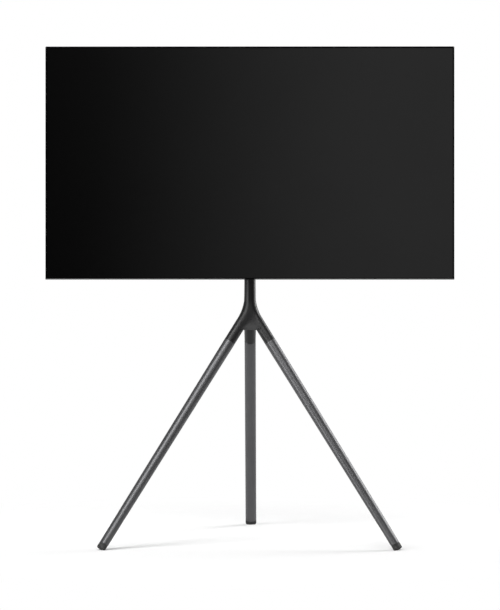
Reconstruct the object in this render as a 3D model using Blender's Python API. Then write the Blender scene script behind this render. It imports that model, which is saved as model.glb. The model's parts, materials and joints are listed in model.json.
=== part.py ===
"""Flat television on a three-legged floor stand, built piece by piece.

Units are metres, +Z is up and the screen faces -Y. The floor is Z = 0. Lengths that run
forward are measured from the pole's axis towards the viewer, so they turn into -Y.
"""

import math

import bmesh
import bpy
from mathutils import Matrix, Vector

# Clearances
GAP = 0.0003  # left between pieces that touch
RUN = 0.0004  # left between pieces that turn or slide on each other
HOLE_SLACK = 0.0004  # a hole's radius less its screw's
STOP_SLACK = math.radians(0.5)  # turn left between the peg and the notch at either limit
CUT_OVERRUN = 0.002  # how far a cutter runs past the face that it cuts

# Facets
ROUND = 32  # sides of the pole and of what turns on it
LEG_ROUND = 24  # sides of a leg
SCREW_ROUND = 12  # sides of a screw
CORNER_STEPS = 4  # facets of a rounded corner
SMOOTH_ANGLE = math.radians(35)
BISECTIONS = 40  # halvings that find a point of the hub's surface

# Directions
FORWARD = (0, -1, 0)
BACKWARD = (0, 1, 0)

# Legs
LEG_AZIMUTHS = {"rear": math.radians(90), "front_left": math.radians(210), "front_right": math.radians(330)}
LEG_TILT = math.radians(35.8)  # leg axis from the vertical
LEG_MEET_Z = 0.705  # where the leg axes meet the pole axis
LEG_WIDTH = 0.0345  # across the leg, the same all the way down
LEG_FOOT_DEPTH = 0.0246  # the other way at the foot, where the round tube has become oval
LEG_WALL = 0.002
LEG_SEAM = 0.122  # from the meeting point down to the end of the hub's collar
LEG_SPIGOT = 0.036  # how far the hub reaches into the tube

# Feet
FOOT_LENGTH = 0.016
FOOT_STEM = 0.024  # how far the rubber reaches into the tube
FOOT_EDGE = 0.003  # rounding of the rubber's end
FOOT_FLAT = 0.0036  # height of the corner that is flattened on the floor

# Hub and pole
POLE_DIAMETER = 0.0345
POLE_WALL = 0.0025
NECK_TOP_Z = 0.812
POLE_SPIGOT = 0.034  # how far the hub reaches into the pole
FLARE_TOP_Z = 0.742  # above this the neck is a plain cylinder
WEB_BOTTOM_Z = 0.642  # lower edge of the webs between the legs
WEB_HALF_THICKNESS = 0.0138
FLARE_BLEND = 0.020  # softness of the run from the neck into a leg
WEB_BLEND = 0.006  # softness of the run from a leg into a web
HUB_RINGS = 12  # sections between the web's edge and the neck
WEB_STEPS = 4  # points across a web
COLLAR_OUTSIDE = 14  # of a leg's facets, those outside the webs

# Grub screws
LEG_SCREW_RADIUS = 0.003
LEG_SCREW_LENGTH = 0.010
LEG_SCREW_DOWN = 0.018  # from the seam
POLE_SCREW_RADIUS = 0.003
POLE_SCREW_LENGTH = 0.010
POLE_SCREW_UP = 0.017  # above the neck
SCREW_RECESS = 0.0004  # depth of a grub screw under the surface

# Swivel head
HEAD_Z = 1.10  # middle of the sleeve, the plate and the television's hole pattern
SLEEVE_LENGTH = 0.12
SLEEVE_WALL = 0.004
BUSH_WALL = 0.0015
BUSH_LENGTH = 0.022
WASHER_THICKNESS = 0.0015
WASHER_OVERLAP = 0.0015  # how far the washer reaches under the sleeve's wall
SWIVEL_LIMIT = math.radians(45)
PEG_HEIGHT = 0.009
PEG_HALF_ANGLE = math.radians(7)
STOP_COLLAR_HEIGHT = 0.014
STOP_SCREW_RADIUS = 0.0025
POLE_CAP_THICKNESS = 0.003
POLE_CAP_STEM = 0.015
POLE_CAP_EDGE = 0.001

# Bracket, plate and arms
BRACKET_WIDTH = 0.064
BRACKET_HEIGHT = 0.088
BRACKET_DEPTH = 0.009  # from the sleeve's front to the plate
BRACKET_WRAP = 0.012  # how far the bracket's sides reach back round the sleeve
PLATE_WIDTH = 0.46
PLATE_HEIGHT = 0.12
PLATE_SHEET = 0.003
PLATE_LIP = 0.012
PLATE_BOLT_RADIUS = 0.004
PLATE_BOLT_LENGTH = 0.014
PLATE_BOLT_X = 0.022
ARM_WIDTH = 0.034
ARM_LENGTH = 0.25
ARM_SHEET = 0.003
ARM_LIP = 0.008
BOLT_HEAD_SHARE = 1.75  # a bolt head's radius over its shank's
BOLT_HEAD_HEIGHT = 0.0035

# Television mounting pattern
MOUNT_X = 0.40  # between the arms
MOUNT_Z = 0.20  # between the two screws of an arm
MOUNT_SCREW_RADIUS = 0.003
MOUNT_SCREW_GRIP = 0.012  # how far a screw reaches into its post
SPACER_LENGTH = 0.0105
SPACER_WALL = 0.004
POST_WALL = 0.0045
WELD = 0.0005  # how far a joined shape sinks into what it stands on

# Television
TV_WIDTH = 1.228
TV_HEIGHT = 0.700
TV_DEPTH = 0.045
TV_PATTERN_UP = 0.305  # from the lower edge to the middle of the hole pattern
FRAME_WIDTH = 0.0022
PANEL_RECESS = 0.0004
PANEL_THICKNESS = 0.0022
DIFFUSER_THICKNESS = 0.002
CHASSIS_DEPTH = 0.0045
CHASSIS_SHEET = 0.001
LED_BARS = 6
LED_BAR_HEIGHT = 0.014
LED_BAR_THICKNESS = 0.0014
LED_SPINE_WIDTH = 0.02  # of the strip that joins the bars
LED_MARGIN = 0.04  # from the chassis sides
REAR_SHEET = 0.0012
COVER_HEIGHT = 0.49  # of the electronics cover
COVER_WALL = 0.0022
COVER_FLANGE = 0.014
COVER_SLOPE_SIDE = 0.085  # how far the cover's sides lean in
COVER_SLOPE_TOP = 0.045
COVER_SLOPE_BOTTOM = 0.004
COVER_CORNER = 0.018
COVER_EDGE = 0.006  # chamfer round the cover's back
VENT_COUNT = 26
VENT_PITCH = 0.013
VENT_WIDTH = 0.004
VENT_HEIGHT = 0.034
VENT_ROWS = (0.345, 0.300)  # above the cover's lower edge
GRILLE_COUNT = 10
GRILLE_PITCH = 0.012
GRILLE_WIDTH = 0.004
GRILLE_DEPTH = 0.014
COVER_SCREW_RADIUS = 0.0015
COVER_SCREW_TIP = 0.0012  # past the chassis sheet
COVER_SCREW_HEAD = 0.0014
COVER_SCREW_INSET = 0.007  # from the frame's inside

# Inside the television
BOARD_STANDOFF = 0.006
BOARD_THICKNESS = 0.0016
BOARD_WIDTH = 0.30
BOARD_HEIGHT = 0.115
BOARD_FROM_MIDDLE = 0.03
BOARD_UP = 0.075
BOARD_POST_RADIUS = 0.004
BOARD_POST_INSET = 0.010
SPEAKER_WIDTH = 0.16
SPEAKER_HEIGHT = 0.034
SPEAKER_DEPTH = 0.024
SPEAKER_FROM_MIDDLE = 0.24
SPEAKER_LIFT = 0.002  # above the cover's inside
SPEAKER_EDGE = 0.004

# Sockets
TRAY_WIDTH = 0.11
TRAY_HEIGHT = 0.034
TRAY_DEPTH = 0.014
TRAY_WALL = 0.0016
TRAY_X = 0.19  # middle of the tray from the television's middle
SOCKET_COUNT = 3
SOCKET_PITCH = 0.03
SOCKET_MOUTH_WIDTH = 0.0141
SOCKET_MOUTH_HEIGHT = 0.0047
SOCKET_MOUTH_DEPTH = 0.009
SOCKET_PROUD = 0.001
SOCKET_END = 0.0025  # the block beyond its outer mouths
SOCKET_WALL = 0.0012  # the block above and below its mouths
INLET_X = -0.17
INLET_WIDTH = 0.021
INLET_HEIGHT = 0.013
INLET_FLANGE = 0.003
INLET_FLANGE_THICKNESS = 0.0015
INLET_DEPTH = 0.018
INLET_WALL = 0.002
INLET_CORNER = 0.0043
INLET_MOUTH_DEPTH = 0.015
PIN_RADIUS = 0.0012
PIN_LENGTH = 0.009
PIN_SPACING = 0.0086

# Power key and remote sensor
KEY_RADIUS = 0.005
KEY_STEM_RADIUS = 0.0025
KEY_LENGTH = 0.006  # from the flange to the stem's end
KEY_TRAVEL = 0.0012
KEY_PROUD = 0.0008
KEY_FLANGE = 0.0015
KEY_FLANGE_THICKNESS = 0.0012
SWITCH_WIDTH = 0.012
SWITCH_HEIGHT = 0.008
SENSOR_X = 0.06
SENSOR_WIDTH = 0.012
SENSOR_DEPTH = 0.005

# Colour, roughness and metallic value of each finish
FINISHES = {
    "cast_black": ((0.030, 0.030, 0.032), 0.48, 0.35),
    "gunmetal": ((0.085, 0.085, 0.088), 0.36, 0.75),
    "black_rubber": ((0.012, 0.012, 0.012), 0.75, 0.0),
    "dark_steel": ((0.045, 0.045, 0.048), 0.42, 0.60),
    "zinc_screw": ((0.42, 0.42, 0.43), 0.35, 1.0),
    "black_screw": ((0.025, 0.025, 0.027), 0.40, 0.90),
    "nylon": ((0.70, 0.69, 0.66), 0.55, 0.0),
    "black_plastic": ((0.018, 0.018, 0.019), 0.55, 0.0),
    "edge_metal": ((0.010, 0.010, 0.011), 0.35, 0.40),
    "screen_glass": ((0.006, 0.006, 0.006), 0.12, 0.0),
    "diffuser_white": ((0.82, 0.82, 0.80), 0.60, 0.0),
    "sheet_steel": ((0.50, 0.51, 0.52), 0.40, 1.0),
    "circuit_green": ((0.03, 0.16, 0.07), 0.45, 0.0),
    "socket_steel": ((0.55, 0.55, 0.56), 0.30, 1.0),
    "sensor_red": ((0.020, 0.004, 0.004), 0.15, 0.0),
}

# Sizes that follow from those above
POLE_RADIUS = POLE_DIAMETER / 2
LEG_HALF = LEG_WIDTH / 2
LEG_END = (LEG_MEET_Z - LEG_FOOT_DEPTH / 2 * math.sin(LEG_TILT) + FOOT_FLAT) / math.cos(LEG_TILT)
LEG_TUBE_END = LEG_END - FOOT_LENGTH
BUSH_INNER = POLE_RADIUS + RUN
SLEEVE_INNER = BUSH_INNER + BUSH_WALL + GAP
SLEEVE_OUTER = SLEEVE_INNER + SLEEVE_WALL
SLEEVE_BOTTOM_Z = HEAD_Z - SLEEVE_LENGTH / 2
SLEEVE_TOP_Z = HEAD_Z + SLEEVE_LENGTH / 2
POLE_TOP_Z = SLEEVE_TOP_Z + RUN
WASHER_OUTER = SLEEVE_INNER + WASHER_OVERLAP
STOP_COLLAR_TOP_Z = SLEEVE_BOTTOM_Z - WASHER_THICKNESS - 2 * GAP
NOTCH_TOP_Z = STOP_COLLAR_TOP_Z + PEG_HEIGHT + RUN
NOTCH_HALF_ANGLE = SWIVEL_LIMIT + PEG_HALF_ANGLE + STOP_SLACK
BRACKET_FRONT = SLEEVE_OUTER + BRACKET_DEPTH
PLATE_BACK = BRACKET_FRONT + GAP
PLATE_FRONT = PLATE_BACK + PLATE_SHEET
ARM_BACK = PLATE_FRONT + GAP
ARM_FRONT = ARM_BACK + ARM_SHEET
TV_BACK = ARM_FRONT + SPACER_LENGTH + 2 * GAP
TV_FRONT = TV_BACK + TV_DEPTH
TV_BOTTOM_Z = HEAD_Z - TV_PATTERN_UP
TV_TOP_Z = TV_BOTTOM_Z + TV_HEIGHT
INSIDE_HALF = TV_WIDTH / 2 - FRAME_WIDTH - GAP
INSIDE_BOTTOM_Z = TV_BOTTOM_Z + FRAME_WIDTH + GAP
INSIDE_TOP_Z = TV_TOP_Z - FRAME_WIDTH - GAP
PANEL_FRONT = TV_FRONT - PANEL_RECESS
PANEL_BACK = PANEL_FRONT - PANEL_THICKNESS
DIFFUSER_FRONT = PANEL_BACK - GAP
CHASSIS_FRONT = DIFFUSER_FRONT - DIFFUSER_THICKNESS - GAP
CHASSIS_BACK = CHASSIS_FRONT - CHASSIS_DEPTH
COVER_FRONT = CHASSIS_BACK - GAP
FRAME_BACK = COVER_FRONT - REAR_SHEET
COVER_TOP_Z = TV_BOTTOM_Z + COVER_HEIGHT
BOARD_FRONT = CHASSIS_BACK - BOARD_STANDOFF
BOARD_BACK = BOARD_FRONT - BOARD_THICKNESS
POST_OUTER = MOUNT_SCREW_RADIUS + HOLE_SLACK + POST_WALL
COVER_UNDERSIDE_Z = INSIDE_BOTTOM_Z + COVER_FLANGE
KEY_FORWARD = (TV_BACK + COVER_FRONT) / 2
SPEAKER_FORWARD = (TV_BACK + COVER_FRONT) / 2


def turns(count):
    """Angles that divide a full turn evenly."""
    return [math.tau * index / count for index in range(count)]


def ring(half_u, half_v, height, count):
    """Points of an ellipse round the local Z axis."""
    return [Vector((half_u * math.cos(a), half_v * math.sin(a), height)) for a in turns(count)]


def rect_ring(low, high, radius, forward):
    """Points round a rectangle with rounded corners that faces forward; low and high are (x, z)."""
    points = []
    corners = ((high[0], high[1], 0), (low[0], high[1], 1), (low[0], low[1], 2), (high[0], low[1], 3))
    for x, z, quarter in corners:
        inward_x = -radius if x == high[0] else radius
        inward_z = -radius if z == high[1] else radius
        for step in range(CORNER_STEPS + 1):
            angle = math.pi / 2 * (quarter + step / CORNER_STEPS)
            across = x + inward_x + radius * math.cos(angle)
            up = z + inward_z + radius * math.sin(angle)
            points.append(Vector((across, -forward, up)))
    return points


def skin(bm, rings, closed=False):
    """Faces over rings of equal count, with a face at each end or joined round when closed."""
    loops = [[bm.verts.new(point) for point in points] for points in rings]
    pairs = list(zip(loops, loops[1:]))
    if closed:
        pairs.append((loops[-1], loops[0]))
    for near, far in pairs:
        join_loops(bm, near, far)
    if not closed:
        bm.faces.new(loops[0])
        bm.faces.new(loops[-1])
    return loops


def join_loops(bm, near, far):
    """A band of faces between two loops of vertices."""
    for index, vert in enumerate(near):
        after = (index + 1) % len(near)
        bm.faces.new((vert, near[after], far[after], far[index]))


def box(bm, low, high):
    """A block between two corners."""
    made = bmesh.ops.create_cube(bm, size=1)["verts"]
    size = [b - a for a, b in zip(low, high)]
    middle = [(a + b) / 2 for a, b in zip(low, high)]
    bmesh.ops.scale(bm, vec=size, verts=made)
    bmesh.ops.translate(bm, vec=middle, verts=made)
    return made


def facing_box(bm, low, high, back, front):
    """A block given by (x, z) corners and by how far forward its back and front are."""
    return box(bm, (low[0], -front, low[1]), (high[0], -back, high[1]))


def rod(bm, radius, length, place, count=SCREW_ROUND):
    """A round rod from the place's origin along its Z axis."""
    loops = skin(bm, [ring(radius, radius, 0, count), ring(radius, radius, length, count)])
    move_loops(bm, loops, place)


def pipe(bm, inner, outer, length, place, count=SCREW_ROUND):
    """A round tube from the place's origin along its Z axis."""
    profile = ((outer, 0), (outer, length), (inner, length), (inner, 0))
    loops = skin(bm, [ring(r, r, z, count) for r, z in profile], closed=True)
    move_loops(bm, loops, place)


def bolt(bm, radius, length, place, count=SCREW_ROUND):
    """A bolt whose head stands on the place's origin and whose shank runs along its Z axis."""
    head = radius * BOLT_HEAD_SHARE
    profile = ((head, -BOLT_HEAD_HEIGHT), (head, 0), (radius, 0), (radius, length))
    loops = skin(bm, [ring(r, r, z, count) for r, z in profile])
    move_loops(bm, loops, place)


def move_loops(bm, loops, place):
    """Moves freshly made loops to their place."""
    verts = [vert for loop in loops for vert in loop]
    bmesh.ops.transform(bm, matrix=place, verts=verts)


def channel(bm, width, sheet, lip, length, place):
    """A folded channel: its web across local X with its back on Y = 0, its lips and web towards +Y."""
    half = width / 2
    section = (
        (-half, 0), (half, 0), (half, lip), (half - sheet, lip),
        (half - sheet, sheet), (sheet - half, sheet), (sheet - half, lip), (-half, lip),
    )
    ends = [[Vector((x, y, z)) for x, y in section] for z in (-length / 2, length / 2)]
    move_loops(bm, skin(bm, ends), place)


def at(x, forward, z, towards=None):
    """A place whose Z axis points up, or towards a direction."""
    turn = Matrix() if towards is None else Vector(towards).to_track_quat("Z", "Y").to_matrix().to_4x4()
    return Matrix.Translation((x, -forward, z)) @ turn


def leg_place(azimuth):
    """A leg's frame: X across it, Y up and out, Z down its axis from the point where the legs meet."""
    out = Vector((math.cos(azimuth), math.sin(azimuth), 0))
    up = Vector((0, 0, 1))
    down_axis = out * math.sin(LEG_TILT) - up * math.cos(LEG_TILT)
    upper_side = out * math.cos(LEG_TILT) + up * math.sin(LEG_TILT)
    across = upper_side.cross(down_axis)
    turn = Matrix((across, upper_side, down_axis)).transposed().to_4x4()
    return Matrix.Translation((0, 0, LEG_MEET_Z)) @ turn


def leg_half_depth(down):
    """Half the leg's depth at a distance down its axis: round at the seam, oval at the foot."""
    share = (down - LEG_SEAM) / (LEG_END - LEG_SEAM)
    return LEG_HALF + (LEG_FOOT_DEPTH / 2 - LEG_HALF) * share


def leg_ring(down, inside):
    """The leg's section at a distance down its axis, drawn in by a wall or a clearance."""
    return ring(LEG_HALF - inside, leg_half_depth(down) - inside, down, LEG_ROUND)


class Model:
    """The scene's pieces, their materials and the empties that carry them."""

    def __init__(self):
        for old in list(bpy.data.objects):
            bpy.data.objects.remove(old)
        self.stand = self.add_empty("stand_axis", None)
        self.head = self.add_empty("swivel_axis", self.stand)
        self.materials = {}

    def add_empty(self, name, parent):
        """An empty on the pole's axis."""
        empty = bpy.data.objects.new(name, None)
        bpy.context.collection.objects.link(empty)
        empty.parent = parent
        return empty

    def material(self, finish):
        """The material of a finish, made once."""
        if finish not in self.materials:
            colour, roughness, metallic = FINISHES[finish]
            made = bpy.data.materials.new(finish)
            made.use_nodes = True
            shader = made.node_tree.nodes["Principled BSDF"]
            shader.inputs["Base Color"].default_value = (*colour, 1)
            shader.inputs["Roughness"].default_value = roughness
            shader.inputs["Metallic"].default_value = metallic
            made.diffuse_color = (*colour, 1)
            self.materials[finish] = made
        return self.materials[finish]

    def add(self, name, bm, finish, parent, place=None):
        """Turns a bmesh into a named piece."""
        bmesh.ops.recalc_face_normals(bm, faces=bm.faces[:])
        mesh = bpy.data.meshes.new(name)
        bm.to_mesh(mesh)
        bm.free()
        mesh.shade_smooth()
        mesh.set_sharp_from_angle(angle=SMOOTH_ANGLE)
        mesh.materials.append(self.material(finish))
        piece = bpy.data.objects.new(name, mesh)
        bpy.context.collection.objects.link(piece)
        piece.parent = parent
        if place is not None:
            piece.matrix_basis = place
        return piece

    def cut(self, pieces, name, bm, place=None):
        """Takes a cutter's shape out of some pieces."""
        cutter = self.add(name, bm, "cast_black", pieces[0].parent, place)
        cutter.hide_render = True
        cutter.display_type = "WIRE"
        for piece in pieces:
            step = piece.modifiers.new(name, "BOOLEAN")
            step.operation = "DIFFERENCE"
            step.object = cutter

    def join(self, piece, name, bm):
        """Joins a shape that sinks into a piece, such as a welded post."""
        self.cut([piece], name, bm)
        piece.modifiers[name].operation = "UNION"

    def centre_footprint(self):
        """Slides the whole object so that its box is centred on the origin, front to back."""
        depths = [
            (piece.matrix_basis @ vert.co).y
            for piece in bpy.data.objects
            if piece.type == "MESH" and not piece.hide_render
            for vert in piece.data.vertices
        ]
        self.stand.location.y = -(min(depths) + max(depths)) / 2


def smooth_union(first, second, softness):
    """The lesser of two distances, rounded where they are nearly equal."""
    share = max(softness - abs(first - second), 0) / softness
    return min(first, second) - share * share * softness / 4


def segment_distance(point, start, end):
    """Distance from a point to a straight piece of line."""
    run = end - start
    length_squared = run.length_squared
    share = (point - start).dot(run) / length_squared if length_squared else 0
    return (point - start - run * min(max(share, 0), 1)).length


def hub_field(point):
    """Signed distance to the hub: below zero inside it."""
    meet = Vector((0, 0, LEG_MEET_Z))
    ends = [leg_place(azimuth) @ Vector((0, 0, LEG_END)) for azimuth in LEG_AZIMUTHS.values()]
    legs = min(segment_distance(point, meet, end) for end in ends) - LEG_HALF
    neck = math.hypot(point.x, point.y) - POLE_RADIUS
    drop = max(LEG_MEET_Z - point.z, 0) / math.cos(LEG_TILT)
    axes = [meet + (end - meet).normalized() * drop for end in ends]
    level = [Vector((axis.x, axis.y, point.z)) for axis in axes]
    sides = zip(level, level[1:] + level[:1])
    webs = min(segment_distance(point, a, b) for a, b in sides) - WEB_HALF_THICKNESS
    return smooth_union(smooth_union(neck, legs, FLARE_BLEND), webs, WEB_BLEND)


def hub_point(azimuth, height):
    """Where a level ray from the pole's axis leaves the hub."""
    out = Vector((math.cos(azimuth), math.sin(azimuth), 0))
    spread = max(LEG_MEET_Z - height, 0) * math.tan(LEG_TILT)
    far = spread + LEG_WIDTH + POLE_DIAMETER
    near = spread / 2
    for _ in range(BISECTIONS):
        middle = (near + far) / 2
        if hub_field(out * middle + Vector((0, 0, height))) < 0:
            near = middle
        else:
            far = middle
    return out * near + Vector((0, 0, height))


def collar_ring_level():
    """A collar's ring where it meets the level underside, in the leg's own angles, outside points first."""
    step = math.tau / LEG_ROUND
    first = -step * (COLLAR_OUTSIDE - 1) / 2
    return [first + step * index for index in range(LEG_ROUND)]


def on_leg(azimuth, angle, height):
    """A point of the leg's round surface at a level height; angle 0 is the leg's outer side."""
    place = leg_place(azimuth)
    side = place.to_3x3() @ Vector((LEG_HALF * math.sin(angle), LEG_HALF * math.cos(angle), 0))
    axis = place.to_3x3() @ Vector((0, 0, 1))
    start = place.translation + side
    return start + axis * ((height - start.z) / axis.z)


def hub_loop_azimuths():
    """Azimuths of the hub's sections: round the outside of each collar, then across the web to the next."""
    outside = collar_ring_level()[:COLLAR_OUTSIDE]
    legs = sorted(LEG_AZIMUTHS.values())
    azimuths = []
    for number, azimuth in enumerate(legs):
        points = [on_leg(azimuth, angle, WEB_BOTTOM_Z) for angle in outside]
        found = [math.atan2(p.y, p.x) for p in points]
        found = [azimuth + math.remainder(a - azimuth, math.tau) for a in found]
        azimuths += found
        following = legs[(number + 1) % len(legs)] + (math.tau if number + 1 == len(legs) else 0)
        half = found[-1] - azimuth
        gap = following - half - found[-1]
        azimuths += [found[-1] + gap * (step + 1) / (WEB_STEPS + 1) for step in range(WEB_STEPS)]
    return azimuths


def build_hub(model):
    """The cast hub: neck, flare, webs and collars, with a spigot for the pole and one for each leg."""
    bm = bmesh.new()
    azimuths = hub_loop_azimuths()
    heights = [WEB_BOTTOM_Z + (FLARE_TOP_Z - WEB_BOTTOM_Z) * n / HUB_RINGS for n in range(HUB_RINGS + 1)]
    rings = [[hub_point(azimuth, height) for azimuth in azimuths] for height in heights]
    spigot = POLE_RADIUS - POLE_WALL - GAP
    top = [(POLE_RADIUS, NECK_TOP_Z), (spigot, NECK_TOP_Z), (spigot, NECK_TOP_Z + POLE_SPIGOT)]
    for radius, height in top:
        rings.append([Vector((radius * math.cos(a), radius * math.sin(a), height)) for a in azimuths])
    loops = [[bm.verts.new(point) for point in points] for points in rings]
    for near, far in zip(loops, loops[1:]):
        join_loops(bm, near, far)
    bm.faces.new(loops[-1])
    close_hub(bm, loops[0])
    return model.add("hub_casting", bm, "cast_black", model.stand)


def close_hub(bm, lowest):
    """The level underside between the collars, and the collars with their spigots."""
    underside = []
    angles = collar_ring_level()
    per_leg = COLLAR_OUTSIDE + WEB_STEPS
    for number, azimuth in enumerate(sorted(LEG_AZIMUTHS.values())):
        start = number * per_leg
        outside = lowest[start:start + COLLAR_OUTSIDE]
        inside = [bm.verts.new(on_leg(azimuth, a, WEB_BOTTOM_Z)) for a in angles[COLLAR_OUTSIDE:]]
        underside += [outside[0], *reversed(inside), outside[-1]]
        underside += lowest[start + COLLAR_OUTSIDE:start + per_leg]
        add_collar(bm, outside + inside, azimuth, angles)
    face = bm.faces.new(underside)
    bmesh.ops.triangulate(bm, faces=[face])


def add_collar(bm, upper, azimuth, angles):
    """One collar from the level ring down to the seam, then the spigot inside the leg tube."""
    place = leg_place(azimuth)
    tip = LEG_SEAM + LEG_SPIGOT
    inside = LEG_WALL + GAP
    sections = ((LEG_SEAM, 0), (LEG_SEAM, inside), (tip, inside))
    last = upper
    for down, drawn_in in sections:
        across = LEG_HALF - drawn_in
        depth = leg_half_depth(down) - drawn_in
        points = [place @ Vector((across * math.sin(a), depth * math.cos(a), down)) for a in angles]
        loop = [bm.verts.new(point) for point in points]
        join_loops(bm, last, loop)
        last = loop
    bm.faces.new(last)


def build_leg(model, side, azimuth):
    """A leg tube, round at the hub and oval at the foot, and its rubber foot."""
    place = leg_place(azimuth)
    top = LEG_SEAM + GAP
    end = LEG_TUBE_END
    bm = bmesh.new()
    rings = [leg_ring(top, 0), leg_ring(end, 0), leg_ring(end, LEG_WALL), leg_ring(top, LEG_WALL)]
    skin(bm, rings, closed=True)
    tube = model.add(f"leg_tube_{side}", bm, "gunmetal", model.stand, place)
    build_foot(model, side, place)
    return tube


def build_foot(model, side, place):
    """A rubber foot: a stem in the tube, a cap with a rounded end, and a flat on the floor."""
    stem_inside = LEG_WALL + GAP
    shoulder = LEG_TUBE_END + GAP
    stem_top = LEG_TUBE_END - FOOT_STEM
    rings = [leg_ring(stem_top, stem_inside), leg_ring(shoulder, stem_inside), leg_ring(shoulder, 0)]
    for step in range(CORNER_STEPS + 1):
        angle = math.pi / 2 * step / CORNER_STEPS
        down = LEG_END - FOOT_EDGE + FOOT_EDGE * math.sin(angle)
        rings.append(leg_ring(down, FOOT_EDGE * (1 - math.cos(angle))))
    bm = bmesh.new()
    skin(bm, rings)
    floor_point = place.inverted() @ Vector((0, 0, 0))
    floor_normal = place.to_3x3().inverted() @ Vector((0, 0, 1))
    every = bm.verts[:] + bm.edges[:] + bm.faces[:]
    cut = bmesh.ops.bisect_plane(
        bm, geom=every, plane_co=floor_point, plane_no=floor_normal, clear_inner=True
    )
    rim = [item for item in cut["geom_cut"] if isinstance(item, bmesh.types.BMEdge)]
    bmesh.ops.holes_fill(bm, edges=rim)
    model.add(f"foot_cap_{side}", bm, "black_rubber", model.stand, place)


def build_legs(model, hub):
    """Three legs, each held by a grub screw from below."""
    holes = bmesh.new()
    tubes = []
    down = LEG_SEAM + LEG_SCREW_DOWN
    surface = leg_half_depth(down)
    inward = Matrix.Rotation(-math.pi / 2, 4, "X")
    depth = CUT_OVERRUN + SCREW_RECESS + LEG_SCREW_LENGTH + GAP
    for side, azimuth in LEG_AZIMUTHS.items():
        tubes.append(build_leg(model, side, azimuth))
        screw = bmesh.new()
        rod(screw, LEG_SCREW_RADIUS, LEG_SCREW_LENGTH, Matrix())
        place = leg_place(azimuth) @ Matrix.Translation((0, SCREW_RECESS - surface, down)) @ inward
        model.add(f"leg_screw_{side}", screw, "black_screw", model.stand, place)
        hole = leg_place(azimuth) @ Matrix.Translation((0, -surface - CUT_OVERRUN, down)) @ inward
        rod(holes, LEG_SCREW_RADIUS + HOLE_SLACK, depth, hole)
    model.cut([hub, *tubes], "cut_leg_screws", holes)


def build_pole(model, hub):
    """The pole on the hub's spigot, its grub screw behind, and the cap that keeps the head on."""
    bm = bmesh.new()
    bottom = NECK_TOP_Z + GAP
    pipe(bm, POLE_RADIUS - POLE_WALL, POLE_RADIUS, POLE_TOP_Z - bottom, at(0, 0, bottom), ROUND)
    pole = model.add("pole_tube", bm, "gunmetal", model.stand)
    screw = bmesh.new()
    hole = bmesh.new()
    z = NECK_TOP_Z + POLE_SCREW_UP
    rod(screw, POLE_SCREW_RADIUS, POLE_SCREW_LENGTH, at(0, SCREW_RECESS - POLE_RADIUS, z, FORWARD))
    depth = CUT_OVERRUN + SCREW_RECESS + POLE_SCREW_LENGTH + GAP
    rod(hole, POLE_SCREW_RADIUS + HOLE_SLACK, depth, at(0, -POLE_RADIUS - CUT_OVERRUN, z, FORWARD))
    model.add("pole_screw", screw, "black_screw", model.stand)
    model.cut([hub, pole], "cut_pole_screw", hole)
    bm = bmesh.new()
    stem = POLE_RADIUS - POLE_WALL - GAP
    under = POLE_TOP_Z + GAP
    top = under + POLE_CAP_THICKNESS
    profile = (
        (stem, under - POLE_CAP_STEM), (stem, under), (SLEEVE_OUTER, under),
        (SLEEVE_OUTER, top - POLE_CAP_EDGE), (SLEEVE_OUTER - POLE_CAP_EDGE, top),
    )
    skin(bm, [ring(r, r, z, ROUND) for r, z in profile])
    model.add("pole_cap", bm, "black_plastic", model.stand)


def arc_angles(half_angle):
    """Angles round a full turn that include both edges of a sector about +Y, with no slivers beside them."""
    middle = math.pi / 2
    edges = [middle - half_angle, middle + half_angle]
    step = math.tau / ROUND
    regular = [a for a in turns(ROUND) if all(abs(math.remainder(a - e, math.tau)) > step / 3 for e in edges)]
    return sorted(a % math.tau for a in regular + edges)


def stepped_pipe(bm, radii, angles, low, high, half_angle, inside_sector, split):
    """A tube whose end runs further on over a sector about +Y, or everywhere but that sector.

    The tube runs from low[0] to high, and the longer part from low[1]. Only the band of the wall
    outside the split radius runs on.
    """
    inner, outer = radii
    levels = ((inner, low[0]), (split, low[0]), (outer, low[0]), (outer, high), (inner, high))
    rings = [[Vector((r * math.cos(a), r * math.sin(a), z)) for a in angles] for r, z in levels]
    skin(bm, rings, closed=True)
    bm.normal_update()
    grown = []
    for face in bm.faces:
        middle = face.calc_center_median()
        turned = abs(math.remainder(math.atan2(middle.y, middle.x) - math.pi / 2, math.tau))
        level = all(abs(vert.co.z - low[0]) < GAP / 2 for vert in face.verts)
        beyond = all(vert.co.xy.length > split - GAP / 2 for vert in face.verts)
        if level and beyond and (turned < half_angle) == inside_sector:
            grown.append(face)
    made = bmesh.ops.extrude_face_region(bm, geom=grown)["geom"]
    verts = [item for item in made if isinstance(item, bmesh.types.BMVert)]
    bmesh.ops.translate(bm, vec=(0, 0, low[1] - low[0]), verts=verts)
    bmesh.ops.delete(bm, geom=grown, context="FACES")


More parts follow.
